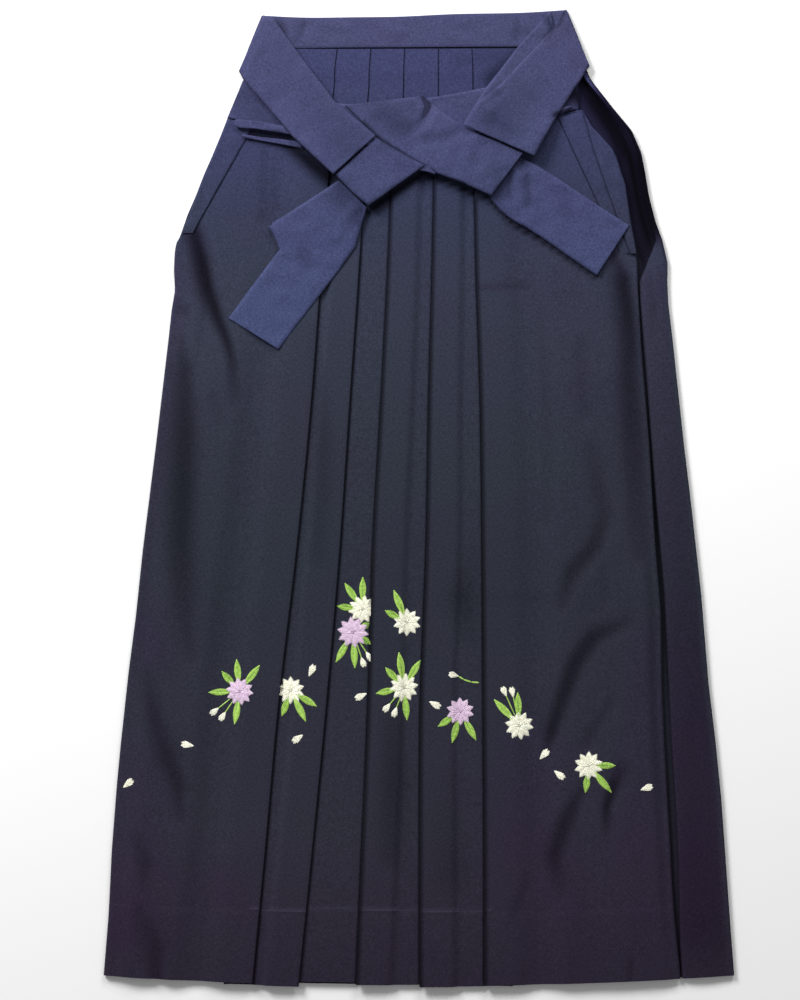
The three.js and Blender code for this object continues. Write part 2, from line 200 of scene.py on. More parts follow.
def shell_quads(rows, columns):
    """Quads of a closed wall: rows of rings, each ring two sides with the same number of points."""
    count = 2 * columns
    quads = []
    for row in range(rows - 1):
        first = row * count
        for i in range(count):
            following = (i + 1) % count
            quads.append((first + i, first + following, first + count + following, first + count + i))
    last = (rows - 1) * count
    for i in range(columns - 1):
        opposite = count - 1 - i
        quads.append((i, opposite, opposite - 1, i + 1))
        quads.append((last + i, last + i + 1, last + opposite - 1, last + opposite))
    return quads


def wall_points(x, y, z, thickness_up, thickness_down):
    """Rings of a wall around middle lines (rows by points), thickened in the plane across a row."""
    dx = np.gradient(x, axis=1)
    dz = np.gradient(z, axis=1)
    length = np.maximum(np.hypot(dx, dz), 1e-9)
    normal_x = -dz / length
    normal_z = dx / length
    upper = np.stack([x + normal_x * thickness_up, y, z + normal_z * thickness_up], axis=2)
    lower = np.stack([x - normal_x * thickness_down, y, z - normal_z * thickness_down], axis=2)
    return np.concatenate([upper, lower[:, ::-1]], axis=1).reshape(-1, 3)


def travelled(points):
    """How far along a line each of its points lies."""
    return np.concatenate([[0], np.cumsum(np.hypot(*np.diff(points, axis=0).T))])


def both_sides(values):
    """A value for each point of the middle lines, repeated for the wall's two sides."""
    return np.concatenate([values, values[:, ::-1]], axis=1)


LOW, HIDDEN, TOP = 0, 1, 2


class Line:
    """The middle line of a section, for all rows at once: runs and turns one after another.

    mark says which layer of a pleat each point is in, and hem how much lower the hem hangs there.
    """

    def __init__(self, x, z, mark=LOW, hem=0.0):
        self.x = [x]
        self.z = [z]
        self.mark = [mark]
        self.hem = [hem]

    def run(self, x, z, steps, mark=LOW, hem=None, soft=False):
        x0, z0, hem0 = self.x[-1], self.z[-1], self.hem[-1]
        hem = hem0 if hem is None else hem
        for k in range(1, steps + 1):
            t = k / steps
            self.x.append(x0 + (x - x0) * t)
            self.z.append(z0 + (z - z0) * (float(ease(t)) if soft else t))
            self.mark.append(mark)
            self.hem.append(hem0 + (hem - hem0) * t)

    def turn(self, facing, z, steps=4):
        """A half turn that points to facing, to the height z."""
        x0, z0 = self.x[-1], self.z[-1]
        radius = np.abs(z - z0) / 2
        for k in range(1, steps + 1):
            angle = math.pi * k / steps
            self.x.append(x0 + facing * radius * math.sin(angle))
            self.z.append((z0 + z) / 2 + (z0 - z) / 2 * math.cos(angle))
            self.mark.append(HIDDEN)
            self.hem.append(self.hem[-1])

    def arrays(self):
        shape = np.broadcast_shapes(*(np.shape(v) for v in self.x))
        x = np.stack([np.broadcast_to(v, shape) for v in self.x], axis=1)
        z = np.stack([np.broadcast_to(v, shape) for v in self.z], axis=1)
        return x.astype(float), z.astype(float), np.array(self.mark)[None, :], np.array(self.hem)[None, :]


# ---------- materials ----------

def node(tree, kind, **values):
    """A new node, each value its own setting or, where it has none of that name, its input's."""
    made = tree.nodes.new(kind)
    for name, value in values.items():
        if hasattr(made, name):
            setattr(made, name, value)
        else:
            made.inputs[name.replace("_", " ")].default_value = value
    return made


def linear(red, green, blue):
    """A colour given as it shows on a screen, 0 to 255, as the linear colour a shader takes."""
    def one(value):
        value /= 255
        return value / 12.92 if value <= 0.04045 else ((value + 0.055) / 1.055) ** 2.4
    return (one(red), one(green), one(blue), 1.0)


# Dye from the waist to the hem: y as a place in the frame, and the colour there.
SKIRT_DYE = [
    (0.46, (55, 58, 91)),
    (0.36, (52, 57, 83)),
    (0.31, (49, 53, 74)),
    (0.25, (49, 53, 69)),
    (0.15, (47, 51, 64)),
    (0.05, (45, 49, 60)),
    (-0.1, (43, 47, 57)),
    (-0.25, (45, 46, 58)),
    (-0.35, (46, 46, 58)),
    (-0.42, (46, 43, 56)),
    (-0.52, (43, 39, 52)),
]
WAIST_DYE = [
    (0.5, (63, 65, 96)),
    (0.3, (61, 66, 99)),
    (0.15, (63, 70, 105)),
]
DYE_REACH = (HEM_Y - HEM_DROP, WAIST_TOP)
WEAVE = ((900, 320, 800), (320, 900, 800))    # noise stretched along weft and along warp
WARM = (1.04, 0.88, 1, 1)                     # what the dye is multiplied by in its warmer clouds


def noise(tree, vector, **values):
    """A noise over a vector, as its strength."""
    made = node(tree, "ShaderNodeTexNoise", **values)
    tree.links.new(vector, made.inputs["Vector"])
    return made.outputs[0]


def in_range(tree, value, **limits):
    """A value carried from one range to another."""
    made = node(tree, "ShaderNodeMapRange", **limits)
    tree.links.new(value, made.inputs["Value"])
    return made.outputs[0]


def combined(tree, operation, first, second):
    """Two values put together by an operation."""
    made = node(tree, "ShaderNodeMath", operation=operation)
    tree.links.new(first, made.inputs[0])
    tree.links.new(second, made.inputs[1])
    return made.outputs[0]


def multiplied(tree, colour, other):
    """A colour multiplied by another."""
    made = node(tree, "ShaderNodeMix", data_type="RGBA", blend_type="MULTIPLY")
    made.inputs["Factor"].default_value = 1
    tree.links.new(colour, made.inputs["A"])
    tree.links.new(other, made.inputs["B"])
    return made.outputs["Result"]


def colour_ramp(tree, value, stops):
    """The colour at a value between stops, each a position and a colour."""
    ramp = node(tree, "ShaderNodeValToRGB")
    tree.links.new(value, ramp.inputs[0])
    elements = ramp.color_ramp.elements
    elements[0].position, elements[0].color = stops[0][0], linear(*stops[0][1])
    elements[1].position, elements[1].color = stops[-1][0], linear(*stops[-1][1])
    for position, colour in stops[1:-1]:
        elements.new(position).color = linear(*colour)
    return ramp.outputs["Color"]


def new_material(name, **finish):
    """A material, its shader with these values on its own sockets, and the place on the object."""
    material = bpy.data.materials.new(name)
    material.use_nodes = True
    tree = material.node_tree
    shader = tree.nodes["Principled BSDF"]
    for socket, value in finish.items():
        shader.inputs[socket.replace("_", " ")].default_value = value
    return material, tree, shader, node(tree, "ShaderNodeTexCoord").outputs["Object"]


def cloth_material(name, dye, seed):
    """Fine matt weave: dye that changes along the garment, uneven threads and a low sheen."""
    material, tree, shader, place = new_material(
        name, Roughness=0.72, Specular_IOR_Level=0.03, Sheen_Weight=0.02, Sheen_Roughness=0.5,
        Sheen_Tint=(0.75, 0.78, 1, 1))
    split = node(tree, "ShaderNodeSeparateXYZ")
    tree.links.new(place, split.inputs[0])
    low, high = DYE_REACH
    along = in_range(tree, split.outputs["Y"], From_Min=low, From_Max=high)
    colour = colour_ramp(tree, along, sorted(((y - low) / (high - low), shown) for y, shown in dye))
    # Painted shade in the depth of folds, and the dye's fading.
    painted_shade_tints = node(tree, "ShaderNodeVertexColor", layer_name="painted_shade_tint")
    colour = multiplied(tree, colour, painted_shade_tints.outputs["Color"])
    # Warp and weft threads that vary in strength, each a stretched noise.
    for stretch in WEAVE:
        mapping = node(tree, "ShaderNodeMapping", Scale=stretch, Location=(seed, 0, 0))
        tree.links.new(place, mapping.inputs["Vector"])
        threads = noise(tree, mapping.outputs[0], Scale=1, Detail=2, Roughness=0.6)
        strength = in_range(tree, threads, From_Min=0.3, From_Max=0.7, To_Min=0.8, To_Max=1.2)
        colour = multiplied(tree, colour, strength)
    # Faint warmer and cooler clouds in the dye.
    clouds = noise(tree, place, Scale=7, Detail=2)
    share = in_range(tree, clouds, From_Min=0.42, From_Max=0.66, To_Min=0, To_Max=0.5)
    warmed = node(tree, "ShaderNodeMix", data_type="RGBA", blend_type="MULTIPLY")
    warmed.inputs["B"].default_value = WARM
    tree.links.new(share, warmed.inputs["Factor"])
    tree.links.new(colour, warmed.inputs["A"])
    tree.links.new(warmed.outputs["Result"], shader.inputs["Base Color"])
    # The weave's own relief.
    heights = []
    for direction in ("X", "Y"):
        threads = node(tree, "ShaderNodeTexWave", bands_direction=direction,
                       Scale=320, Distortion=1, Detail=1)
        tree.links.new(place, threads.inputs["Vector"])
        heights.append(threads.outputs["Fac"])
    crossed = combined(tree, "MULTIPLY", *heights)
    relief = combined(tree, "ADD", crossed, noise(tree, place, Scale=700, Detail=2))
    bump = node(tree, "ShaderNodeBump", Strength=0.3, Distance=0.0003)
    tree.links.new(relief, bump.inputs["Height"])
    tree.links.new(bump.outputs[0], shader.inputs["Normal"])
    return material


def thread_material(name, light, dark):
    """Glossy embroidery thread whose colour varies a little from stitch to stitch."""
    material, tree, shader, place = new_material(
        name, Roughness=0.5, Specular_IOR_Level=0.3, Sheen_Weight=0.1)
    shown = colour_ramp(tree, noise(tree, place, Scale=380, Detail=2), [(0.35, dark), (0.62, light)])
    tree.links.new(shown, shader.inputs["Base Color"])
    return material


skirt = cloth_material("skirt_cloth", SKIRT_DYE, seed=3.0)
waist = cloth_material("waist_cloth", WAIST_DYE, seed=11.0)
white_thread = thread_material("white_thread", (252, 252, 238), (234, 232, 212))
lilac_thread = thread_material("lilac_thread", (232, 212, 230), (216, 190, 216))
green_thread = thread_material("green_thread", (176, 212, 104), (146, 188, 78))


def finish_piece(piece, slot, *cad_nodes):
    """Attaches a piece to the root, which it rides on, and hides the solids it stands for. slot is not used.
    """
    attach(piece, "root")
    if cad_nodes:
        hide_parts(*cad_nodes)


# ---------- the curves of the front waistband and the hem ----------

FRONT_BAND = table("top_x top_y low_x low_y", [
    (-0.188, 0.447, -0.2048, 0.4068), (-0.137, 0.434, -0.14, 0.391), (-0.079, 0.422, -0.08, 0.377),
    (-0.023, 0.424, -0.023, 0.379), (0.033, 0.432, 0.035, 0.387), (0.09, 0.443, 0.096, 0.398),
    (0.17, 0.451, 0.17, 0.416),
])


def hem_drop(x):
    """How far the bowed hem hangs below its corners."""
    return HEM_DROP * (1 - (x / HALF_WIDTH) ** 2)


def hem_share(row):
    """How much a row follows the hem's bow: wholly at the hem, and not at all half way up."""
    return np.interp(row, [HEM_Y, -0.376, -0.215, -0.055], [1, 0.7, 0.3, 0])


# ---------- front panel ----------

# Places of the five pleats' edges down the panel, and how far each is tucked under.
PLEATS = table("y a b c d e tuck", [
    (0.388, -0.094, -0.054, -0.025, 0.018, 0.057, 0.022), (0.318, -0.099, -0.06, -0.03, 0.016, 0.06, 0.023),
    (0.266, -0.103, -0.063, -0.032, 0.015, 0.061, 0.024),
    (0.106, -0.115, -0.074, -0.04, 0.011, 0.066, 0.026),
    (-0.055, -0.131, -0.085, -0.049, 0.008, 0.068, 0.028),
    (-0.215, -0.15, -0.099, -0.054, 0.002, 0.069, 0.029),
    (-0.376, -0.165, -0.115, -0.061, 0.001, 0.07, 0.03),
    (-0.509, -0.178, -0.129, -0.067, 0.001, 0.07, 0.03),
])
LEFT_EDGE = table("y x", [
    (0.411, -0.201), (0.405, -0.204), (0.373, -0.218), (0.345, -0.23), (0.322, -0.2385), (0.305, -0.2455),
    (0.279, -0.2555), (0.272, -0.26), (0.262, -0.2612), (0.244, -0.262), (0.223, -0.2608), (0.203, -0.2643),
    (0.173, -0.2675), (0.056, -0.2814), (-0.055, -0.2953), (-0.126, -0.3028), (-0.183, -0.3103),
    (-0.262, -0.3189), (-0.305, -0.323), (-0.376, -0.3285), (-0.445, -0.3318), (-0.509, -0.337),
])
RIGHT_SEAM = table("y x", [
    (0.42, 0.172), (0.4, 0.183), (0.384, 0.199), (0.368, 0.2108), (0.336, 0.2204), (0.298, 0.2258),
    (0.253, 0.2333), (0.226, 0.2343), (0.159, 0.2386), (0.056, 0.2482), (-0.049, 0.2557), (-0.119, 0.2622),
    (-0.198, 0.2639), (-0.258, 0.2664), (-0.318, 0.2696), (-0.375, 0.2728), (-0.445, 0.2755),
    (-0.509, 0.28),
])
# How far the front stops short of that seam, so that a dark slot shows beside the wrap.
SLOT = table("y width", [
    (0.25, 0), (0.1, 0.0012), (-0.05, 0.003), (-0.2, 0.0042), (-0.4, 0.0036), (-0.47, 0.0014), (-0.51, 0),
])
# Folds of the front: depth moves the cloth, shade is painted shade in the colour (alone where a row has no
# depth), and plum tints it.
FRONT_FOLDS = table(FOLD_COLUMNS, [
    # from the left slit down into the panel
    (1, -0.248, 0.303, 0.007, -0.0005, 0.62, 0.6), (1, -0.24, 0.285, 0.01, -0.002, 0.78, 0.6, 0.2),
    (1, -0.232, 0.255, 0.011, -0.003, 0.82, 0.6, 0.2), (1, -0.224, 0.222, 0.01, -0.0034, 0.8, 0.5, 0.3),
    (1, -0.2125, 0.189, 0.007, -0.0034, 0.74, 0.4, 0.2), (1, -0.204, 0.166, 0.0055, -0.003, 0.7, 0.3),
    (1, -0.1985, 0.146, 0.006, -0.0026, 0.5, 0.2), (1, -0.1957, 0.102, 0.007, -0.001, 0.12, 0.1),
    # long hollow beside the left edge, and what carries it on to the hem
    (2, -0.254, 0.172, 0.004, -0.0008, 0.2), (2, -0.25, 0.135, 0.011, -0.003, 0.46, 0.15, 0.1),
    (2, -0.249, 0.07, 0.0165, -0.0038, 0.54, 0.1, 0.1), (2, -0.2505, 0.01, 0.018, -0.004, 0.54, 0.1, 0.1),
    (2, -0.252, -0.05, 0.017, -0.0038, 0.48, 0.15, 0.1), (2, -0.249, -0.125, 0.013, -0.003, 0.28, 0.3),
    (2, -0.243, -0.168, 0.009, -0.0014, 0.18, 0.1), (3, -0.29, -0.19, 0.008, -0.0012, 0.16, 0.3),
    (3, -0.2815, -0.2375, 0.01, -0.0026, 0.3, 0.5), (3, -0.268, -0.279, 0.012, -0.003, 0.45, 0.3),
    (3, -0.2565, -0.309, 0.01, -0.0026, 0.45, 0.2), (3, -0.254, -0.341, 0.007, -0.001, 0.2, 0.4),
    (4, -0.303, -0.36, 0.007, -0.001, 0.12, 0.3), (4, -0.292, -0.392, 0.0095, -0.0024, 0.25, 0.6),
    (4, -0.29, -0.418, 0.008, -0.001, 0.12, 0.5), (5, -0.298, -0.445, 0.01, -0.0012, 0.15, 0.5),
    (5, -0.2815, -0.4815, 0.012, -0.0024, 0.3, 0.6), (5, -0.28, -0.512, 0.007, -0.0024, 0.34, 0.6),
    # small dents near the left slit and below the folded tie
    (6, -0.262, 0.205, 0.005, -0.001, 0.16, 0.2), (6, -0.249, 0.201, 0.006, -0.0016, 0.28, 0.3),
    (7, -0.219, 0.106, 0.007, -0.0008, 0.1), (7, -0.211, 0.08, 0.007, -0.0006, 0.1),
    (8, -0.165, 0.372, 0.004, -0.0008, 0.14), (8, -0.1665, 0.3, 0.006, -0.001, 0.18),
    (9, -0.1545, 0.366, 0.004, -0.0006, 0.08), (9, -0.156, 0.31, 0.005, -0.0008, 0.1),
    # right of the last pleat, where the skirt was once folded across
    (10, 0.066, 0.2255, 0.004, -0.0006, 0.18, 0.3), (10, 0.114, 0.2285, 0.004, -0.0006, 0.22, 0.3),
    # hollow beside the right seam
    (11, 0.2085, 0.262, 0.005, -0.001, 0.25, 0.4, 0.2), (11, 0.219, 0.235, 0.0105, -0.0034, 0.72, 0.5, 0.3),
    (11, 0.2235, 0.2, 0.0115, -0.0036, 0.68, 0.4, 0.3), (11, 0.226, 0.165, 0.011, -0.003, 0.6, 0.4, 0.2),
    (11, 0.224, 0.125, 0.012, -0.0024, 0.5, 0.4), (11, 0.228, 0.07, 0.013, -0.0024, 0.46, 0.5),
    (11, 0.232, 0, 0.011, -0.0022, 0.28, 0.3), (11, 0.236, -0.06, 0.01, -0.0014, 0.16, 0.3),
    # long soft steps down the right panel
    (12, 0.1295, 0.2, 0.004, -0.0006, 0.06, 0, -0.5), (12, 0.1335, 0.1, 0.009, -0.0012, 0.13, 0, -0.5),
    (12, 0.135, -0.02, 0.008, -0.0008, 0.08, 0, -0.5), (13, 0.173, 0.162, 0.008, -0.0012, 0.12),
    (13, 0.1795, 0.09, 0.008, -0.001, 0.11),
    # the bent fold in the middle of the right panel
    (14, 0.184, 0.052, 0.008, -0.001, 0.08, 0.2), (14, 0.194, 0.01, 0.01, -0.0024, 0.19, 0.1),
    (14, 0.2, -0.022, 0.0095, -0.0026, 0.24), (14, 0.189, -0.053, 0.0095, -0.0026, 0.36),
    (14, 0.165, -0.08, 0.0095, -0.0024, 0.34), (14, 0.153, -0.112, 0.009, -0.0016, 0.2, 0.2),
    (15, 0.197, -0.075, 0.006, -0.0008, 0.09), (15, 0.2, -0.11, 0.006, -0.0008, 0.09),
    (16, 0.222, -0.133, 0.007, -0.001, 0.18, 0.2), (16, 0.187, -0.15, 0.0095, -0.0028, 0.46, 0.2),
    (16, 0.168, -0.178, 0.0095, -0.0032, 0.52, 0.2), (16, 0.153, -0.217, 0.0095, -0.0034, 0.56, 0.1),
    (16, 0.1415, -0.249, 0.0085, -0.003, 0.6, 0.3), (16, 0.1365, -0.266, 0.005, -0.0016, 0.32, 0.3),
    (17, 0.206, -0.219, 0.006, -0.0008, 0.12, 0.2), (17, 0.18, -0.259, 0.007, -0.001, 0.18, 0.3),
    (18, 0.216, -0.29, 0.009, -0.0012, 0.24, 0.7), (18, 0.2075, -0.309, 0.007, -0.0026, 0.64, 0.4),
    (18, 0.2005, -0.33, 0.005, -0.0022, 0.64, 0.2), (18, 0.2015, -0.362, 0.006, -0.0008, 0.12, 0.2),
    (19, 0.174, -0.313, 0.006, -0.0014, 0.24, 0.3), (19, 0.155, -0.353, 0.011, -0.0032, 0.52, 0.4),
    (19, 0.1445, -0.381, 0.011, -0.003, 0.52, 0.2), (19, 0.151, -0.418, 0.009, -0.0012, 0.18, 0.2),
    (20, 0.114, -0.404, 0.006, -0.0006, 0.12), (20, 0.1, -0.443, 0.0055, -0.0012, 0.24),
    (21, 0.227, -0.492, 0.004, -0.0008, 0.18, 0.4), (21, 0.2255, -0.512, 0.004, -0.001, 0.22, 0.4),
    # a pressed line right across, with painted shade just above it
    (22, 0.075, -0.109, 0.003, 0.0005), (22, 0.262, -0.115, 0.003, 0.0005),
    (23, 0.075, -0.104, 0.005, 0, 0.09), (23, 0.262, -0.11, 0.005, 0, 0.09),
    # shallow dents between the pleats with painted shade, and painted shade alone where there is no dent
    (24, 0.055, -0.06, 0.01, -0.0004, 0.1), (24, 0.047, -0.105, 0.016, -0.0006, 0.36),
    (24, 0.055, -0.15, 0.01, -0.0003, 0.12), (25, -0.028, -0.232, 0.012, -0.0004, 0.22),
    (25, -0.027, -0.3, 0.015, -0.0004, 0.36), (25, -0.03, -0.38, 0.014, -0.0002, 0.24),
    (26, -0.112, 0.18, 0.006, 0, 0.1), (26, -0.102, 0.06, 0.011, 0, 0.22),
    (26, -0.108, -0.06, 0.012, 0, 0.16), (27, 0.03, -0.3, 0.02, 0, 0.08), (27, 0.034, -0.4, 0.02, 0, 0.2),
    # painted shade in the gaps of the folded front tie
    (28, -0.192, 0.392, 0.005, 0, 0.8), (28, -0.17, 0.388, 0.006, 0, 0.92),
    (28, -0.125, 0.378, 0.009, 0, 0.92),
    # the shade along the lower edges of the crossing ties
    (40, -0.052, 0.309, 0.004, 0, 0.86), (40, 0.005, 0.348, 0.0042, 0, 0.88),
    (40, 0.018, 0.343, 0.004, 0, 0.88), (40, 0.076, 0.319, 0.0036, 0, 0.86),
    (40, 0.099, 0.2945, 0.0032, 0, 0.8), (40, 0.1295, 0.2775, 0.0028, 0, 0.72),
    (40, 0.189, 0.2365, 0.0022, 0, 0.5),
    # the shade below the left tie, which stands clear of the cloth
    (29, -0.14, 0.38, 0.009, 0, 0.88), (29, -0.096, 0.343, 0.011, 0, 0.92),
    # where the dye has faded towards plum
    (30, -0.3, -0.13, 0.03, 0, 0, 0.5), (30, -0.285, -0.16, 0.03, 0, 0, 0.5),
    (31, -0.3, -0.3, 0.05, 0, 0, 0.4), (31, -0.3, -0.46, 0.045, 0, 0, 0.5),
    (32, -0.205, -0.425, 0.03, 0, 0, 0.4), (32, -0.19, -0.44, 0.02, 0, 0, 0.3),
    (33, 0.12, -0.27, 0.05, 0, 0, 0.45), (33, 0.115, -0.37, 0.05, 0, 0, 0.5),
    (33, 0.16, -0.47, 0.06, 0, 0, 0.45), (34, 0.245, -0.15, 0.03, 0, 0, 0.4),
    (34, 0.24, -0.45, 0.05, 0, 0, 0.5), (35, 0.13, 0.24, 0.05, 0, 0, 0.25),
    (35, 0.21, 0.12, 0.05, 0, 0, 0.35), (36, -0.262, 0.25, 0.012, 0, 0, 0.5),
    (36, -0.27, 0.1, 0.012, 0, 0, 0.45), (36, -0.3, -0.1, 0.012, 0, 0, 0.4),
])
EDGE_REACH = 0.0035          # how far from a pleat's edge the layer below has fine points
EDGE_SHADE = 0.85            # how dark the painted shade on the layer below is at a pleat's edge
RAMP = 0.012                 # over which a pleat's three layers run out
LONG_RAMP = 0.026            # and those of the outermost pleats


def front_y(x, row):
    """How high a point of a row is: rows follow the curved waistband at the top and the hem below."""
    smile = np.interp(row, [0.266, 0.318, 0.357, FRONT_TOP], [0, 0.3, 0.6, 1])
    hem = hem_share(row)
    band = smooth(FRONT_BAND, "low_x", "low_y", x) - FRONT_TOP - 0.0006
    return row + smile * band - hem * hem_drop(x)


def side_share(x, left, ramp_left, ramp_right, right):
    """1 on the loose side panels, 0 on the pleats and along the seams."""
    left_side = ease((x - left - 0.004) / 0.03) * ease((ramp_left - 0.004 - x) / 0.03)
    right_side = ease((x - ramp_right - 0.004) / 0.03) * ease((right - 0.003 - x) / 0.015)
    return np.maximum(left_side, right_side)


def front_puff(x, y, side, folds):
    """How much the cloth stands off the layer below, with its folds."""
    clear = np.maximum(ease((-0.214 - x) / 0.03), ease((x - 0.228) / 0.02))
    below_ties = np.maximum(np.interp(y, [0.13, 0.21], [1.0, 0.30]), clear)
    above_hem = np.interp(y, [-0.52, -0.40], [0.55, 1.0])
    at_slits = np.interp(y, [0.25, 0.30], [1.0, 0.2])
    loose = FRONT_LIFT * side * below_ties * above_hem * at_slits
    streaks = 0.0006 * ripple(x, y, 0.10, 0.6, seed=5) * side * below_ties
    height = loose + streaks + folds * np.maximum(side, 0.25)
    softness = 0.0004
    return softness * np.logaddexp(0, height / softness) - softness * math.log(2) * (1 - side)


def front_panel():
    """The front skirt: one line across it for each row, in and out of the five pleats."""
    rows = np.linspace(HEM_Y, FRONT_TOP, int((FRONT_TOP - HEM_Y) / ROW_STEP) + 1)
    hem_line = HEM_Y + HEM_TURN
    rows = np.sort(np.concatenate([rows, hem_line + np.array([-0.0007, 0, 0.0007])]))
    left = straight(LEFT_EDGE, "y", "x", rows + (rows > 0.3) * (rows - 0.3) * 0.18)
    right = straight(RIGHT_SEAM, "y", "x", rows + (rows > 0.3) * (rows - 0.3) * 0.3)
    right = right - straight(SLOT, "y", "width", rows)
    edge = {name: smooth(PLEATS, "y", name, rows) for name in "abcde"}
    tuck = smooth(PLEATS, "y", "tuck", rows)
    low, middle, top = FRONT_LOW, FRONT_LOW + LAYER, FRONT_LOW + 2 * LAYER
    # The left edge turns down to the surface below.
    line = Line(left + CLOTH / 2, np.full(len(rows), 0.0012))
    line.run(left + CLOTH / 2, 0.0024, 1)
    line.run(left + 0.0012, 0.0034, 1)
    line.run(left + 0.0026, low, 1)
    ramp_left = edge["a"] - tuck - LONG_RAMP
    line.run(ramp_left, low, 50)
    line.run(edge["a"] - tuck - 0.002, top, 8, mark=TOP, soft=True)
    # The two pleats that open to the right, each a little longer or shorter at the hem.
    for name, following, hem in (("a", "b", 0.002), ("b", None, -0.003)):
        line.run(edge[name] - FOLD, top, 8, mark=TOP)
        line.turn(1, middle)
        line.run(edge[name] - tuck + FOLD, middle, 1, mark=HIDDEN, hem=hem)
        line.turn(-1, low, steps=2)
        line.run(edge[name] - 0.0005, low, 1)
        line.run(edge[name] + EDGE_REACH, low, 7)
        if following:
            line.run(edge[following] - tuck - RAMP + 0.002, low, 2)
            line.run(edge[following] - tuck - 0.002, top, 5, mark=TOP, soft=True)
    # The three that open to the left.
    for name, ramp, hem in (("c", RAMP, -0.001), ("d", RAMP, 0.001), ("e", LONG_RAMP, 0.0)):
        line.run(edge[name] - EDGE_REACH, low, 5)
        line.run(edge[name] + 0.0005, low, 7)
        line.run(edge[name] + tuck - FOLD, low, 1)
        line.turn(1, middle, steps=2)
        line.run(edge[name] + FOLD, middle, 1, mark=HIDDEN, hem=hem)
        line.turn(-1, top)
        line.run(edge[name] + tuck + 0.002, top, 7, mark=TOP)
        line.run(edge[name] + tuck + ramp, low, 6, soft=True)
    ramp_right = edge["e"] + tuck + LONG_RAMP
    line.run(right - 0.0005, low, 52)
    x, z, mark, hem = line.arrays()
    row = rows[:, None]
    y = front_y(x, row) - hem * ease((HEM_Y + 0.25 - row) / 0.25)
    side = side_share(x, left[:, None], ramp_left[:, None], ramp_right[:, None], right[:, None])
    folds, shade, plum = fold_fields(x, y, FRONT_FOLDS)
    z = z + front_puff(x, y, side, folds)
    # The layer below a pleat's edge sinks into a narrow groove, with painted shade in it.
    away = np.min([np.abs(x - edge[name][:, None]) for name in "abcde"], axis=0)
    z = z - GROOVE * np.exp(-(away / 0.0016) ** 2) * (mark == LOW)
    shade = np.maximum(shade, EDGE_SHADE * np.exp(-(away / 0.0011) ** 2) * (mark == LOW))
    # Painted shade on the turns inside the pleats, and along the front's right edge.
    shade = np.where(mark == HIDDEN, 0.7, shade)
    shade = np.maximum(shade, 0.5 * np.exp(-((right[:, None] - x) / 0.0015) ** 2))
    turned = ease((hem_line - row) / 0.004)
    pressed = np.exp(-((row - hem_line) / 0.0006) ** 2) * (x > -0.181) * (x < 0.076)
    z = z + (0.0003 * turned + 0.0004 * pressed) * (z > FRONT_LOW)
    # Painted highlight along the pressed line of the turned-up hem.
    painted_shade_tints = painted_shade_tint(shade, plum) * (1 + 0.5 * pressed * (mark != HIDDEN))[..., None]
    half = CLOTH / 2 + 0.0001 * turned
    points = wall_points(x, y, z, half, half)
    piece = make_object("front_panel_cloth", points, shell_quads(len(rows), x.shape[1]), skirt,
                        painted_shade_tints=both_sides(painted_shade_tints))
    finish_piece(piece, "skirt_cloth", "front_panel")
    return piece


front = front_panel()


# ---------- back panel ----------

# Edges of the back down the garment. inner is how far the cloth that wraps round to the front
# reaches: to the front's edge below the slit, and only a narrow turned edge beside the slit. mid and
# step place the inner pleats, tooth is how far they stand up, and lift is the underside's height.
BACK = table("y left right inner mid step tooth lift", [
    (0.481, -0.16, 0.17, 0.163, -0.016, 0.036, 0.0006, 0.0015),
    (0.453, -0.186, 0.181, 0.174, -0.017, 0.037, 0.0008, 0.0015),
    (0.447, -0.188, 0.184, 0.178, -0.017, 0.037, 0.001, 0.0006),
    (0.419, -0.2, 0.206, 0.201, -0.018, 0.038, 0.0011),
    (0.394, -0.21, 0.2268, 0.2222, -0.018, 0.039, 0.0012),
    (0.37, -0.219, 0.2372, 0.2322, -0.0185, 0.0395, 0.0012),
    (0.348, -0.2275, 0.2415, 0.2362, -0.019, 0.04, 0.0012),
    (0.324, -0.235, 0.2454, 0.2402, -0.0195, 0.0415, 0.0012),
    (0.296, -0.246, 0.2525, 0.2475, -0.02, 0.043, 0.0012),
    (0.277, -0.254, 0.2595, 0.253, -0.0205, 0.044, 0.0012),
    (0.252, -0.258, 0.2654, 0.243, -0.021, 0.045, 0.0012),
    (0.233, -0.259, 0.265, 0.235, -0.021, 0.046, 0.0012),
    (0.209, -0.26, 0.266, 0.236, -0.022, 0.047, 0.0012),
    (0.17, -0.265, 0.2707, 0.239, -0.023, 0.049, 0.0012),
    (0.125, -0.27, 0.2755, 0.243, -0.0235, 0.051, 0.0012),
    (0.056, -0.279, 0.283, 0.248, -0.025, 0.054, 0.0012),
    (-0.006, -0.286, 0.2905, 0.253, -0.0265, 0.057, 0.0012),
    (-0.102, -0.297, 0.3012, 0.2615, -0.029, 0.061, 0.0012),
    (-0.198, -0.309, 0.3092, 0.266, -0.032, 0.064, 0.0012),
    (-0.258, -0.316, 0.3164, 0.269, -0.033, 0.065, 0.0012),
    (-0.319, -0.322, 0.3226, 0.273, -0.0345, 0.0655, 0.0012),
    (-0.386, -0.327, 0.3274, 0.2765, -0.036, 0.066, 0.0012),
    (-0.46, -0.331, 0.3327, 0.2778, -0.0372, 0.0673, 0.0012),
    (-0.509, -0.335, 0.3365, 0.2803, -0.038, 0.068, 0.0012),
])
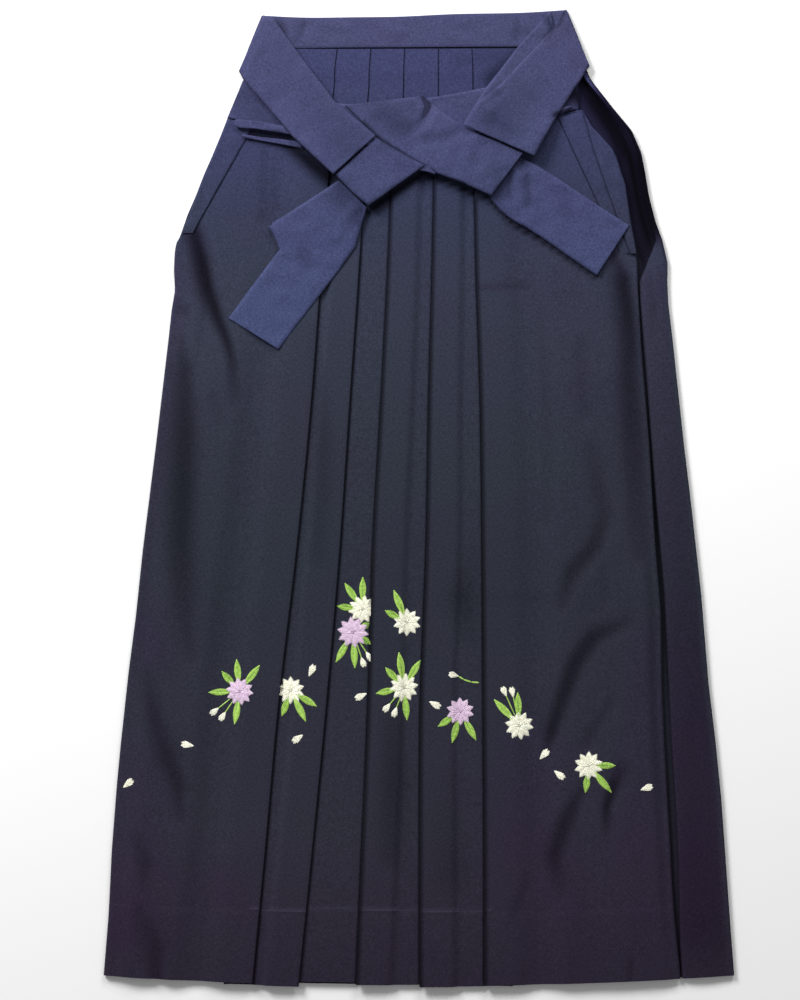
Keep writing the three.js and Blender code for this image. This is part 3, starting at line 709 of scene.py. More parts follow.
# Folds of the cloth wrapped on to the front. Their shade is painted shade where the wrap turns into the right
# slit; lower down it makes the wrap darker and more plum towards the hem.
WRAP_FOLDS = table(FOLD_COLUMNS, [
    (1, 0.246, 0.232, 0.005, -0.0006, 0.1, 0.2), (1, 0.251, 0.205, 0.006, -0.0009, 0.2, 0.2),
    (1, 0.25, 0.17, 0.005, -0.0004, 0.08, 0.2), (2, 0.264, 0.06, 0.007, 0.0006, 0, 0.3),
    (2, 0.278, -0.12, 0.007, 0.0006, 0, 0.3), (3, 0.292, -0.24, 0.007, -0.0006, 0.12, 0.5),
    (3, 0.3, -0.33, 0.009, -0.0008, 0.16, 0.5), (3, 0.3, -0.43, 0.008, -0.0006, 0.12, 0.5),
    (4, 0.2, 0.43, 0.012, 0, 0.8, 1), (4, 0.224, 0.39, 0.015, 0, 0.96, 1),
    (4, 0.24, 0.345, 0.016, 0, 0.97, 1), (4, 0.251, 0.29, 0.016, 0, 0.92, 1),
    (5, 0.262, 0.22, 0.035, 0, 0.04, 0.35), (5, 0.272, 0, 0.035, 0, 0.1, 0.5),
    (5, 0.29, -0.2, 0.045, 0, 0.26, 0.75), (5, 0.3, -0.45, 0.055, 0, 0.32, 0.85),
])
# Painted deep shade, tinted plum, on the inside of the back where it shows through the right
# slit and the slot below, and painted shadow beside the right back tie's inner edge.
INSIDE_FOLDS = table(FOLD_COLUMNS, [
    (1, 0.176, 0.455, 0.02, 0, 0.97, 0.2), (1, 0.188, 0.428, 0.024, 0, 0.98, 0.8),
    (1, 0.211, 0.392, 0.022, 0, 0.98, 1), (1, 0.229, 0.356, 0.022, 0, 0.98, 1),
    (1, 0.236, 0.32, 0.022, 0, 0.97, 1), (1, 0.245, 0.283, 0.022, 0, 0.96, 1),
    (1, 0.24, 0.245, 0.012, 0, 0.82, 0.4), (1, 0.24, 0.15, 0.008, 0, 0.85),
    (1, 0.264, -0.19, 0.008, 0, 0.85), (1, 0.28, -0.509, 0.008, 0, 0.85), (2, 0.108, 0.48, 0.008, 0, 0.4),
    (2, 0.08, 0.45, 0.011, 0, 0.6), (3, 0.045, 0.468, 0.01, 0, 0.14), (3, 0.085, 0.474, 0.008, 0, 0.2),
])


def back_panel():
    """The back skirt: flat below, turned over at the right and wrapped on to the front."""
    rows = np.linspace(HEM_Y, BACK["y"].max(), int((BACK["y"].max() - HEM_Y) / ROW_STEP) + 1)
    value = {name: straight(BACK, "y", name, rows) for name in ("left", "right", "inner", "lift", "tooth")}
    value["mid"] = smooth(BACK, "y", "mid", rows)
    value["step"] = smooth(BACK, "y", "step", rows)
    line = Line(value["left"], np.full(len(rows), BACK_LOW))
    # Points gather at the inner pleats, so that each keeps a sharp edge.
    edges = [value["mid"] + place * value["step"] for place in (-2, -1, 0, 1, 2)]
    for edge in edges:
        line.run(edge - 0.0008, BACK_LOW, 8)
        line.run(edge + 0.0008, BACK_LOW, 4)
        line.run(edge + 0.0026, BACK_LOW, 3)
    radius = (FRONT_LOW - BACK_LOW) / 2
    line.run(value["right"] - radius, BACK_LOW, 16)
    line.turn(1, FRONT_LOW, steps=10)
    line.run(value["inner"] + 0.0045, FRONT_LOW, 7, mark=TOP)
    line.run(value["inner"] + 0.0008, FRONT_LOW, 5, mark=TOP)
    x, z, mark, _ = line.arrays()
    row = rows[:, None]
    inner = value["inner"][:, None]
    hem = hem_share(row)
    y = row - hem * (hem_drop(x) - 0.001 * (x < inner))
    lower = z < BACK_LOW + 1e-6
    # Each pleat steps down to the right inside, with painted shade at the foot of each step,
    # and its other edge shows on the underside.
    inside = np.zeros_like(x)
    outside = np.zeros_like(x)
    _, shade, plum = fold_fields(x, y, INSIDE_FOLDS)
    span = value["step"][:, None]
    for edge in edges:
        past = (edge[:, None] - x) / span
        inside = np.maximum(inside, np.where((past >= 0) & (past <= 1), 1 - past, 0))
        foot = x - edge[:, None] - 0.0006
        shade = np.maximum(shade, 0.75 * np.exp(-(foot / 0.0009) ** 2) * (foot > -0.0005))
        past = (foot + 0.0002) / span
        outside = np.maximum(outside, np.where((past >= 0) & (past <= 1), 1 - past, 0))
    z = z + value["lift"][:, None] * lower
    wrap = mark == TOP
    soft_edge = ease((x - inner) / 0.004)
    puff = 0.0012 * np.sin(np.clip((x - inner) / 0.045, 0, 1) * math.pi)
    folds, wrap_shade, wrap_plum = fold_fields(x, y, WRAP_FOLDS)
    # Painted shade along the inner edge of the wrap, beside the slot.
    wrap_shade = np.maximum(wrap_shade, 0.75 * np.exp(-((x - inner) / 0.0022) ** 2) * (row < 0.25))
    z = z + wrap * (soft_edge * (puff + folds) - 0.0012 * (1 - soft_edge) * (row < 0.25))
    shade = np.where(wrap, wrap_shade, shade)
    plum = np.where(wrap, wrap_plum, plum)
    half = CLOTH / 2
    up = half + lower * value["tooth"][:, None] * inside
    down = half - lower * 0.0004 * outside * (row < 0.45)
    points = wall_points(x, y, z, up, np.minimum(down, half))
    seen = painted_shade_tint(shade, plum)
    painted_shade_tints = np.concatenate([seen, np.where(lower[..., None], 1.0, seen)[:, ::-1]], axis=1)
    piece = make_object("back_panel_cloth", points, shell_quads(len(rows), x.shape[1]), skirt,
                        sharp=40, painted_shade_tints=painted_shade_tints)
    finish_piece(piece, "skirt_cloth", "back_panel")


# ---------- waistbands ----------

STATION_STEP = 0.004        # from one station of a strap to the next
LAYER_GAP = 0.00015         # between the layers of a strap
BAND_STATIONS = 90          # stations along a waistband
UNDER_SHADE = 0.6           # how dark the underside of a strip is, in its own shade
EDGE_DARK = 0.58            # how dark its lower edge is, which the light doesn't reach
EDGE_DARK_REACH = 0.0011


def strip_shell(name, near, far, base, thickness, material, relief=None, shade=None, across=18, sharp=60):
    """A closed strip between two edges (stations by x and y), with rounded edges and ends.

    base and thickness are one value for each station. relief gives the height added on top at x, y,
    and shade how dark it is there.
    """
    stations = len(near)
    spread = (1 - np.cos(np.linspace(0, math.pi, across))) / 2
    spread = spread * 0.5 + np.linspace(0, 1, across) * 0.5
    t = spread[None, :]
    x = near[:, :1] + (far[:, :1] - near[:, :1]) * t
    y = near[:, 1:] + (far[:, 1:] - near[:, 1:]) * t
    width = np.hypot(*(far - near).T)[:, None]
    edge = np.minimum(t, 1 - t) * width
    along = travelled((near + far) / 2)
    end = np.minimum(along, along[-1] - along)[:, None]
    rim = np.asarray(thickness)[:, None] * 0.5
    inset = np.clip(np.minimum(edge, end) / rim, 0, 1)
    swell = np.sqrt(np.clip(1 - (1 - inset) ** 2, 0.02, 1))
    middle = np.asarray(base)[:, None] + rim
    upper = middle + rim * swell
    if relief is not None:
        upper = upper + relief(x, y) * ease(np.minimum(edge, end) / 0.003)
    lower = middle - rim * swell
    dark = np.zeros_like(x) if shade is None else shade(x, y)
    dark = np.maximum(dark, EDGE_DARK * np.exp(-(np.broadcast_to(t * width, x.shape) / EDGE_DARK_REACH) ** 2))
    top = np.stack([x, y, upper], axis=2)
    bottom = np.stack([x, y, lower], axis=2)
    points = np.concatenate([top, bottom[:, ::-1]], axis=1).reshape(-1, 3)
    painted_shade_tints = np.concatenate([painted_shade_tint(dark), painted_shade_tint(np.full_like(dark, UNDER_SHADE))], axis=1)
    return make_object(name, points, shell_quads(stations, across), material, sharp=sharp, painted_shade_tints=painted_shade_tints)


def resample(columns):
    """Stations of a strap's table, close together along its course, with straight edges between."""
    middle_x = (columns["near_x"] + columns["far_x"]) / 2
    middle_y = (columns["near_y"] + columns["far_y"]) / 2
    along = travelled(np.stack([middle_x, middle_y], axis=1))
    length = along[-1]
    even = np.linspace(0, length, max(int(length / STATION_STEP), 4) + 1)
    rim = np.array([0.0003, 0.0008, 0.0015])
    places = np.sort(np.concatenate([even, along[1:-1], rim, length - rim]))
    places = places[np.concatenate([[True], np.diff(places) > 0.00015])]
    keyed = dict(columns, along=along)
    return {name: straight(keyed, "along", name, places) for name in columns}, places


# Folds of the waistbands: depth moves the cloth, and shade is painted shade in the colour.
BAND_FOLDS = table(FOLD_COLUMNS, [
    (1, -0.19, 0.428, 0.005, -0.0005, 0.1), (1, -0.15, 0.415, 0.004, -0.0005, 0.1),
    (2, 0.01, 0.424, 0.005, -0.0004, 0.08), (2, 0.06, 0.432, 0.005, -0.0004, 0.08),
    (3, 0.05, 0.425, 0.004, 0.0005), (3, 0.085, 0.44, 0.004, 0.0005),
    # the band's own ends, drawn in where the ties begin
    (4, -0.121, 0.512, 0.003, -0.0006, 0.32, 0, 0.2), (4, -0.131, 0.486, 0.0026, -0.0004, 0.18, 0, 0.2),
    (5, -0.151, 0.513, 0.003, -0.0008, 0.5), (5, -0.143, 0.498, 0.003, -0.0006, 0.4),
    (6, 0.105, 0.508, 0.0035, -0.0006, 0.3), (6, 0.102, 0.492, 0.003, -0.0005, 0.3),
    (7, -0.02, 0.512, 0.01, 0.0004), (7, -0.03, 0.488, 0.01, 0.0004),
    # painted shade at the front band's left end, and painted shadow at its right end
    (8, -0.195, 0.432, 0.025, 0, 0.24), (8, -0.15, 0.41, 0.022, 0, 0.3), (9, 0.12, 0.44, 0.02, 0, 0.3),
    (9, 0.145, 0.44, 0.015, 0, 0.35), (9, 0.172, 0.43, 0.014, 0, 0.97),
])


def front_waistband():
    """The curved band between the slits, which the crossing ties cover in the middle."""
    along = np.linspace(0, 1, BAND_STATIONS)
    low_x = FRONT_BAND["low_x"][0] + (FRONT_BAND["low_x"][-1] - FRONT_BAND["low_x"][0]) * along
    top_x = FRONT_BAND["top_x"][0] + (FRONT_BAND["top_x"][-1] - FRONT_BAND["top_x"][0]) * along
    near = np.stack([low_x, smooth(FRONT_BAND, "low_x", "low_y", low_x)], axis=1)
    far = np.stack([top_x, smooth(FRONT_BAND, "top_x", "top_y", top_x)], axis=1)

    def relief(x, y):
        return 0.00030 * ripple(x, y, 0.03, 0.05, seed=21) + fold_fields(x, y, BAND_FOLDS)[0]

    piece = strip_shell("front_waistband_cloth", near, far, np.full(BAND_STATIONS, BAND_BASE),
                        np.full(BAND_STATIONS, BAND), waist, relief,
                        lambda x, y: fold_fields(x, y, BAND_FOLDS)[1])
    finish_piece(piece, "waist_cloth", "front_waistband")


BACK_BAND = table("x top ledge", [
    (-0.168, 0.517, 0.4805), (-0.125, 0.515, 0.4815), (-0.07, 0.5153, 0.4825), (-0.02, 0.516, 0.4828),
    (0.033, 0.5185, 0.4832), (0.119, 0.5205, 0.4836), (0.158, 0.523, 0.4838),
])
BACK_BAND_HEIGHT = 0.06
BACK_BAND_SLANT = 0.41      # how far an end leans outwards for each metre down
BACK_FLANGE = 0.0012        # height of the outer layer, which goes on below


def back_waistband():
    """The band seen from inside: its sewn-down half stands up over the outer layer, which goes on below."""
    first, last = BACK_BAND["x"][0], BACK_BAND["x"][-1]
    along = np.linspace(first, last, BAND_STATIONS)
    top = smooth(BACK_BAND, "x", "top", along)
    ledge = smooth(BACK_BAND, "x", "ledge", along)
    middle, half_width = (first + last) / 2, (last - first) / 2
    bottom = top - BACK_BAND_HEIGHT
    # Across the band, as place, height and painted shade: the outer layer on the surface below, the
    # inner layer on top with its sewn edge and painted shade beneath it, and the rolled upper edge.
    flat = np.ones(BAND_STATIONS)
    up = [(bottom + (ledge - 0.0006 - bottom) * share, BACK_FLANGE * flat, 0.0) for share in np.arange(8) / 8]
    up.append((ledge - 0.0014, BACK_FLANGE * flat, 0.5))
    up.append((ledge - 0.0004, BACK_FLANGE * flat, 0.9))
    up.append((ledge - 0.0002, (BAND - 0.0005) * flat, 0.8))
    up.append((ledge + 0.0006, BAND * flat, 0.0))
    up += [(ledge + (top - 0.0012 - ledge) * share, BAND * flat, 0.0) for share in np.linspace(0.1, 1, 9)]
    for angle in np.linspace(20, 90, 4):
        turn = math.radians(angle)
        up.append((top - 0.0012 + 0.0012 * math.sin(turn), BAND / 2 * (1 + math.cos(turn)) * flat, 0.0))
    y = np.stack([place for place, _, _ in up], axis=1)
    z = np.stack([height for _, height, _ in up], axis=1)
    shade = np.broadcast_to(np.array([dark for _, _, dark in up]), z.shape)
    lean = ((along - middle) / half_width)[:, None] * BACK_BAND_SLANT * (top[:, None] - y)
    x = along[:, None] + lean
    inside = ease((y - ledge[:, None] - 0.002) / 0.006) * ease((top[:, None] - y - 0.002) / 0.006)
    folds, fold_shade, _ = fold_fields(x, y, BAND_FOLDS)
    z = z + inside * (0.0004 * ripple(x, y, 0.04, 0.02, seed=31) + 0.0002 + folds)
    upper = np.stack([x, y, z], axis=2)
    lower = np.stack([x, y, np.zeros_like(z)], axis=2)
    points = np.concatenate([upper, lower[:, ::-1]], axis=1).reshape(-1, 3)
    painted_shade_tints = np.concatenate([painted_shade_tint(np.maximum(shade, fold_shade * inside)), painted_shade_tint(np.zeros_like(z))], axis=1)
    piece = make_object("back_waistband_cloth", points, shell_quads(BAND_STATIONS, y.shape[1]), waist,
                        sharp=40, painted_shade_tints=painted_shade_tints)
    finish_piece(piece, "waist_cloth", "back_waistband")


# ---------- turned cloth at the slits ----------

LEFT_FACING = table("y outer inner", [
    (0.402, -0.2045, -0.1755), (0.3815, -0.2135, -0.1862), (0.345, -0.2292, -0.2068),
    (0.322, -0.2376, -0.2198), (0.3, -0.247, -0.2322), (0.284, -0.2535, -0.241),
])
RIGHT_FOLD_LOWER = table("y outer inner", [
    (0.412, 0.1745, 0.1455), (0.398, 0.1835, 0.1525), (0.368, 0.21, 0.166), (0.336, 0.2195, 0.1812),
    (0.3146, 0.223, 0.191), (0.262, 0.2315, 0.214),
])
RIGHT_FOLD_UPPER = table("y outer inner", [
    (0.413, 0.1755, 0.1745), (0.398, 0.184, 0.179), (0.373, 0.207, 0.1856), (0.336, 0.22, 0.1985),
    (0.304, 0.2245, 0.2097), (0.262, 0.232, 0.225),
])
FACING_BASE = 0.0048        # underside of the turned cloth on the front panel
SECOND_FOLD = 0.0016        # how much higher the upper side fold lies
SLIT_CLOTH = 0.001
SLIT_STATIONS = 40


def slit_strip(name, columns, base, slope, edge_shade, node_name):
    """A turned edge along the front's slit; slope lifts its free edge so that it catches the light."""
    rows = np.linspace(columns["y"][0], columns["y"][-1], SLIT_STATIONS)
    outer = straight(columns, "y", "outer", rows)
    inner = straight(columns, "y", "inner", rows)
    near = np.stack([inner, rows], axis=1)
    far = np.stack([outer, rows], axis=1)

    def relief(x, y):
        share = np.abs(x - inner[:, None]) / np.maximum(np.abs(outer - inner)[:, None], 0.001)
        return slope * np.clip(share, 0, 1) + 0.00030 * ripple(x, y, 0.03, 0.03, seed=41)

    # Painted shade along the inner edge, where the turned cloth meets the front.
    def shade(x, y):
        return edge_shade * np.exp(-((x - inner[:, None]) / 0.0010) ** 2)

    piece = strip_shell(name, near, far, np.full(SLIT_STATIONS, base), np.full(SLIT_STATIONS, SLIT_CLOTH),
                        skirt, relief, shade, across=14)
    finish_piece(piece, "skirt_cloth", node_name)


# ---------- ties ----------

STRAP_COLUMNS = "near_x near_y far_x far_y base height"
BACK_TIE_LEFT = table(STRAP_COLUMNS, [
    (-0.1925, 0.457, -0.1665, 0.5165, 0.003, 0.0034), (-0.1878, 0.4475, -0.156, 0.513, 0.0062, 0.0024),
    (-0.157, 0.4125, -0.1245, 0.47, 0.0066, 0.0024), (-0.1356, 0.3865, -0.0888, 0.422, 0.011, 0.0024),
    (-0.112, 0.364, -0.064, 0.401, 0.015, 0.0024), (-0.0912, 0.3452, -0.0455, 0.3868, 0.0163, 0.0024),
])
BACK_TIE_RIGHT = table(STRAP_COLUMNS, [
    (0.182, 0.463, 0.156, 0.523, 0.0049, 0.003), (0.1763, 0.4537, 0.1402, 0.4992, 0.0062, 0.0026),
    (0.1482, 0.4095, 0.0867, 0.4416, 0.0095, 0.0028), (0.135, 0.387, 0.06, 0.42, 0.015, 0.0028),
    (0.1225, 0.3645, 0.0465, 0.3975, 0.0165, 0.003),
])
BACK_TIE_RIGHT_UNDER = table(STRAP_COLUMNS, [
    (0.15, 0.48, 0.1402, 0.5206, 0.0032, 0.0022), (0.13, 0.45, 0.1054, 0.4831, 0.004, 0.0022),
    (0.11, 0.415, 0.0706, 0.4376, 0.008, 0.0024), (0.095, 0.395, 0.048, 0.401, 0.0128, 0.0024),
])
CENTRE_TIE = table(STRAP_COLUMNS, [
    (-0.079, 0.42, 0.004, 0.43, 0.0062, 0.0022), (-0.061, 0.402, 0.013, 0.422, 0.0072, 0.003),
    (-0.044, 0.386, 0.024, 0.413, 0.0086, 0.0036), (-0.031, 0.3745, 0.037, 0.404, 0.0096, 0.0044),
    (0.005, 0.3555, 0.064, 0.388, 0.0106, 0.0054), (0.018, 0.347, 0.08, 0.3815, 0.0109, 0.0053),
    (0.048, 0.3355, 0.096, 0.3745, 0.0109, 0.0052), (0.077, 0.3228, 0.1105, 0.368, 0.0109, 0.005),
])
TIE_SQUARE = table(STRAP_COLUMNS, [
    (-0.089, 0.345, -0.045, 0.385, 0.0109, 0.005), (-0.071, 0.327, -0.02, 0.37, 0.0109, 0.0052),
    (-0.0538, 0.3118, 0.006, 0.3545, 0.0109, 0.005),
])
TIE_CRUMPLE = table(STRAP_COLUMNS, [
    (-0.001, 0.35, 0.002, 0.359, 0.0118, 0.003), (0.008, 0.3485, 0.012, 0.356, 0.0122, 0.0034),
    (0.017, 0.3455, 0.02, 0.352, 0.0118, 0.003),
])
LEFT_TAIL = table(STRAP_COLUMNS, [
    (-0.055, 0.31, -0.085, 0.34, 0.0079, 0.0028), (-0.059, 0.299, -0.1, 0.33, 0.0079, 0.0028),
    (-0.064, 0.283, -0.133, 0.309, 0.0079, 0.0026), (-0.068, 0.269, -0.1568, 0.2945, 0.0076, 0.0024),
    (-0.076, 0.258, -0.1585, 0.2895, 0.0076, 0.0024), (-0.084, 0.246, -0.1487, 0.2664, 0.0074, 0.0022),
    (-0.121, 0.197, -0.175, 0.231, 0.0068, 0.0022), (-0.1501, 0.1594, -0.2036, 0.1929, 0.0062, 0.0022),
])
LEFT_TAIL_UNDER = table(STRAP_COLUMNS, [
    (-0.07, 0.29, -0.12, 0.314, 0.0056, 0.0016), (-0.1, 0.27, -0.15, 0.296, 0.0054, 0.0016),
    (-0.144, 0.262, -0.16, 0.291, 0.0052, 0.0016),
])
RIGHT_TAIL = table(STRAP_COLUMNS, [
    (0.07, 0.33, 0.097, 0.37, 0.0079, 0.0026), (0.0773, 0.319, 0.1107, 0.363, 0.0079, 0.0026),
    (0.087, 0.307, 0.125, 0.356, 0.0077, 0.0024), (0.1, 0.2972, 0.144, 0.344, 0.0074, 0.0022),
    (0.1295, 0.2798, 0.17, 0.327, 0.007, 0.0022), (0.1897, 0.2383, 0.2244, 0.2918, 0.0078, 0.0022),
])
FRONT_TIE_LEFT = table(STRAP_COLUMNS, [
    (-0.1965, 0.3985, -0.1975, 0.403, 0.0086, 0.0013), (-0.195, 0.3968, -0.1955, 0.4048, 0.0086, 0.0013),
    (-0.19, 0.3952, -0.1905, 0.4048, 0.0086, 0.0013), (-0.1755, 0.3945, -0.1755, 0.403, 0.0086, 0.0013),
    (-0.15, 0.3905, -0.15, 0.3985, 0.0086, 0.0013), (-0.125, 0.386, -0.125, 0.394, 0.0086, 0.0013),
])
FRONT_TIE_LEFT_MIDDLE = table(STRAP_COLUMNS, [
    (-0.1885, 0.3868, -0.189, 0.3885, 0.0063, 0.0012), (-0.1865, 0.385, -0.1875, 0.3888, 0.0063, 0.0012),
    (-0.17, 0.3822, -0.17, 0.3862, 0.0063, 0.0012), (-0.15, 0.379, -0.15, 0.3845, 0.0063, 0.0012),
    (-0.125, 0.3745, -0.125, 0.3812, 0.0063, 0.0012),
])
FRONT_TIE_RIGHT = table(STRAP_COLUMNS, [
    (0.143, 0.4075, 0.143, 0.415, 0.008, 0.0012), (0.153, 0.4115, 0.153, 0.418, 0.008, 0.0012),
    (0.163, 0.4165, 0.1625, 0.42, 0.008, 0.0012),
])

# Folds of the ties: depth moves the cloth, and shade is painted shade in the colour, alone where a row has no
# depth.
TIE_FOLDS = table(FOLD_COLUMNS, [
    # wrinkles where the right back tie turns over at the corner
    (1, 0.133, 0.519, 0.0026, -0.0012, 0.5), (1, 0.143, 0.502, 0.003, -0.001, 0.62),
    (1, 0.134, 0.488, 0.003, -0.0006, 0.2), (2, 0.147, 0.518, 0.002, 0.001),
    (2, 0.156, 0.499, 0.002, 0.0008), (3, 0.1545, 0.519, 0.0024, -0.001, 0.7),
    (3, 0.149, 0.506, 0.0024, -0.0008, 0.5),
    # its lower end, and the shade along its inner edge
    (4, 0.065, 0.418, 0.007, 0.001), (4, 0.09, 0.399, 0.007, 0.001),
    (5, 0.086, 0.418, 0.005, -0.0008, 0.12), (5, 0.079, 0.396, 0.006, -0.001, 0.28),
    (6, 0.106, 0.396, 0.006, 0.0008), (6, 0.112, 0.376, 0.006, 0.0008),
    (7, 0.085, 0.433, 0.005, -0.001, 0.35), (7, 0.064, 0.415, 0.004, -0.0008, 0.2),
    # pinch in the middle of the front band
    (8, 0.005, 0.43, 0.003, -0.002, 0.5, 0, 0.3), (8, 0.011, 0.418, 0.0035, -0.0026, 0.62, 0, 0.3),
    (8, 0.001, 0.4, 0.005, -0.002, 0.35, 0, 0.3), (8, -0.007, 0.388, 0.005, -0.001, 0.12, 0, 0.3),
    (9, -0.008, 0.418, 0.006, -0.0008, 0.24), (9, -0.003, 0.406, 0.006, -0.0008, 0.24),
    (10, 0.019, 0.408, 0.005, 0.0014), (10, 0.008, 0.392, 0.005, 0.0012),
    (11, 0.045, 0.396, 0.004, -0.001, 0.2), (11, 0.03, 0.385, 0.005, -0.001, 0.24),
    (11, 0.006, 0.382, 0.005, -0.0006, 0.12), (12, 0.06, 0.382, 0.007, 0.0008),
    (12, 0.048, 0.356, 0.008, 0.0008),
    # left back tie
    (13, -0.175, 0.49, 0.006, -0.0006, 0.06), (13, -0.16, 0.455, 0.006, -0.0006, 0.06),
    (14, -0.112, 0.408, 0.005, 0.0006), (14, -0.096, 0.39, 0.005, 0.0006),
    (15, -0.078, 0.4, 0.006, -0.0008, 0.22), (15, -0.074, 0.386, 0.006, -0.0008, 0.22),
    (16, -0.088, 0.39, 0.007, 0.0006), (16, -0.064, 0.37, 0.007, 0.0006),
    # square
    (17, -0.04, 0.37, 0.006, -0.0006, 0.1), (17, -0.02, 0.356, 0.006, -0.0006, 0.1),
    # left tail where it leaves the square
    (18, -0.084, 0.328, 0.007, -0.001, 0.36), (18, -0.078, 0.312, 0.007, -0.001, 0.3),
    (19, -0.062, 0.307, 0.0045, -0.0012, 0.45), (19, -0.064, 0.292, 0.004, -0.001, 0.45),
    (20, -0.07, 0.31, 0.0035, 0.0012), (20, -0.09, 0.278, 0.0035, 0.0008),
    (21, -0.124, 0.264, 0.009, -0.0008, 0.16), (21, -0.118, 0.25, 0.009, -0.0008, 0.14),
    (22, -0.1, 0.295, 0.006, 0.0008), (22, -0.145, 0.279, 0.006, 0.0008),
    # right tail where it leaves the knot
    (23, 0.095, 0.35, 0.004, -0.0012, 0.34), (23, 0.096, 0.32, 0.004, -0.001, 0.28),
    (24, 0.104, 0.35, 0.004, 0.001), (24, 0.112, 0.315, 0.004, 0.0008),
    (25, 0.115, 0.342, 0.0045, -0.001, 0.32), (25, 0.116, 0.316, 0.0045, -0.001, 0.3),
    (26, 0.15, 0.32, 0.009, -0.0005, 0.06), (26, 0.17, 0.29, 0.009, -0.0005, 0.06),
    # painted shade on the lower end of the square, and in the gap beside the centre tie
    (27, -0.0538, 0.3119, 0.003, 0, 0.62), (27, 0.005, 0.3535, 0.0026, 0, 0.62),
    (28, -0.06, 0.402, 0.0022, 0, 0.7), (28, -0.04, 0.382, 0.0022, 0, 0.8),
    (28, -0.006, 0.361, 0.0014, 0, 0.55), (29, 0.144, 0.409, 0.003, 0, 0.8),
    (29, 0.164, 0.417, 0.003, 0, 0.8),
    # broad shade towards the crossing
    (30, -0.125, 0.435, 0.026, 0, 0.1), (30, -0.08, 0.385, 0.026, 0, 0.26),
    (31, -0.042, 0.412, 0.02, 0, 0.3), (31, -0.02, 0.398, 0.018, 0, 0.42),
    (32, 0.11, 0.425, 0.024, 0, 0.22), (32, 0.085, 0.405, 0.022, 0, 0.38),
    (33, -0.085, 0.325, 0.015, 0, 0.3), (33, -0.065, 0.3, 0.013, 0, 0.3), (34, 0.088, 0.34, 0.012, 0, 0.28),
    (34, 0.082, 0.32, 0.012, 0, 0.28),
])


def strap(name, columns, cad_node, seed, layers=1, also=()):
    """A tie: a strip for each layer, the lower ones a little longer or shorter at the edges.

    also lists further tables laid in the same piece.
    """
    pieces = []
    random = np.random.default_rng(seed)
    for place, rows in enumerate((columns, *also)):
        stations, places = resample(rows)
        near = np.stack([stations["near_x"], stations["near_y"]], axis=1)
        far = np.stack([stations["far_x"], stations["far_y"]], axis=1)
        across = far - near
        across /= np.hypot(*across.T)[:, None]
        for layer in range(layers):
            thickness = stations["height"] / layers - LAYER_GAP
            base = stations["base"] + stations["height"] * layer / layers
            is_top = layer == layers - 1
            low_edge = 0 if is_top else random.uniform(-0.0014, 0.0008)
            high_edge = 0 if is_top else random.uniform(-0.0014, 0.0008)
            wave = 0.0003 * np.sin(places / 0.021 + random.uniform(0, 6))

            def relief(x, y, strength=1.0 if is_top else 0.2):
                uneven = 0.00035 * ripple(x, y, 0.03, 0.03, seed=seed)
                return strength * (fold_fields(x, y, TIE_FOLDS)[0] + uneven)

            def shade(x, y):
                return fold_fields(x, y, TIE_FOLDS)[1]

            near_edge = near + across * (low_edge + wave)[:, None]
            far_edge = far + across * (high_edge + wave)[:, None]
            pieces.append(strip_shell(f"{name}_{place}_{layer}", near_edge, far_edge, base, thickness,
                                      waist, relief, shade))
    piece = join(name, pieces)
    finish_piece(piece, "waist_cloth", *([cad_node] if cad_node else []))


def join(name, pieces):
    """One object out of several."""
    bpy.ops.object.select_all(action="DESELECT")
    for piece in pieces:
        piece.select_set(True)
    bpy.context.view_layer.objects.active = pieces[0]
    if len(pieces) > 1:
        bpy.ops.object.join()
    joined = bpy.context.view_layer.objects.active
    joined.name = name
    joined.data.name = name
    return joined


back_panel()
back_waistband()
front_waistband()
slit_strip("slit_facing_left_cloth", LEFT_FACING, FACING_BASE, 0.0, 0.8, "slit_facing_left")
slit_strip("slit_fold_lower_cloth", RIGHT_FOLD_LOWER, FACING_BASE, 0.0004, 0.85, "slit_fold_right_lower")
slit_strip("slit_fold_upper_cloth", RIGHT_FOLD_UPPER, FACING_BASE + SECOND_FOLD, 0.0006, 0.6,
           "slit_fold_right_upper")
strap("front_tie_left_folds", FRONT_TIE_LEFT, "front_tie_left_folded", 51,
      also=[FRONT_TIE_LEFT_MIDDLE])
strap("front_tie_right_folds", FRONT_TIE_RIGHT, "front_tie_right_folded", 52)
strap("left_tail_under_cloth", LEFT_TAIL_UNDER, None, 53)
strap("left_tail_cloth", LEFT_TAIL, "front_tie_left_tail", 54)
strap("right_tail_cloth", RIGHT_TAIL, "front_tie_right_tail", 55)
strap("tie_square_cloth", TIE_SQUARE, "front_tie_square", 56, layers=3)
strap("centre_tie_cloth", CENTRE_TIE, "front_tie_centre", 57, layers=2,
      also=[TIE_CRUMPLE])
strap("back_tie_right_under_cloth", BACK_TIE_RIGHT_UNDER, None, 58)
strap("back_tie_right_cloth", BACK_TIE_RIGHT, "back_tie_right", 59)
strap("back_tie_left_cloth", BACK_TIE_LEFT, "back_tie_left", 60)


# ---------- embroidery ----------

THREAD = 0.001              # width of a stitch
STITCH_RISE = 0.0005        # how far a stitch stands up
FLOWERS = table("x y radius lilac", [
    (-0.1915, -0.2054, 0.015, 1), (-0.137, -0.2044, 0.015, 0), (-0.0603, -0.1177, 0.0155, 0),
    (-0.0706, -0.1423, 0.017, 1), (-0.0128, -0.1316, 0.015, 0), (-0.0161, -0.2012, 0.0155, 0),
    (0.0439, -0.2268, 0.015, 1), (0.107, -0.2418, 0.0155, 0), (0.1808, -0.2846, 0.0155, 0),
])
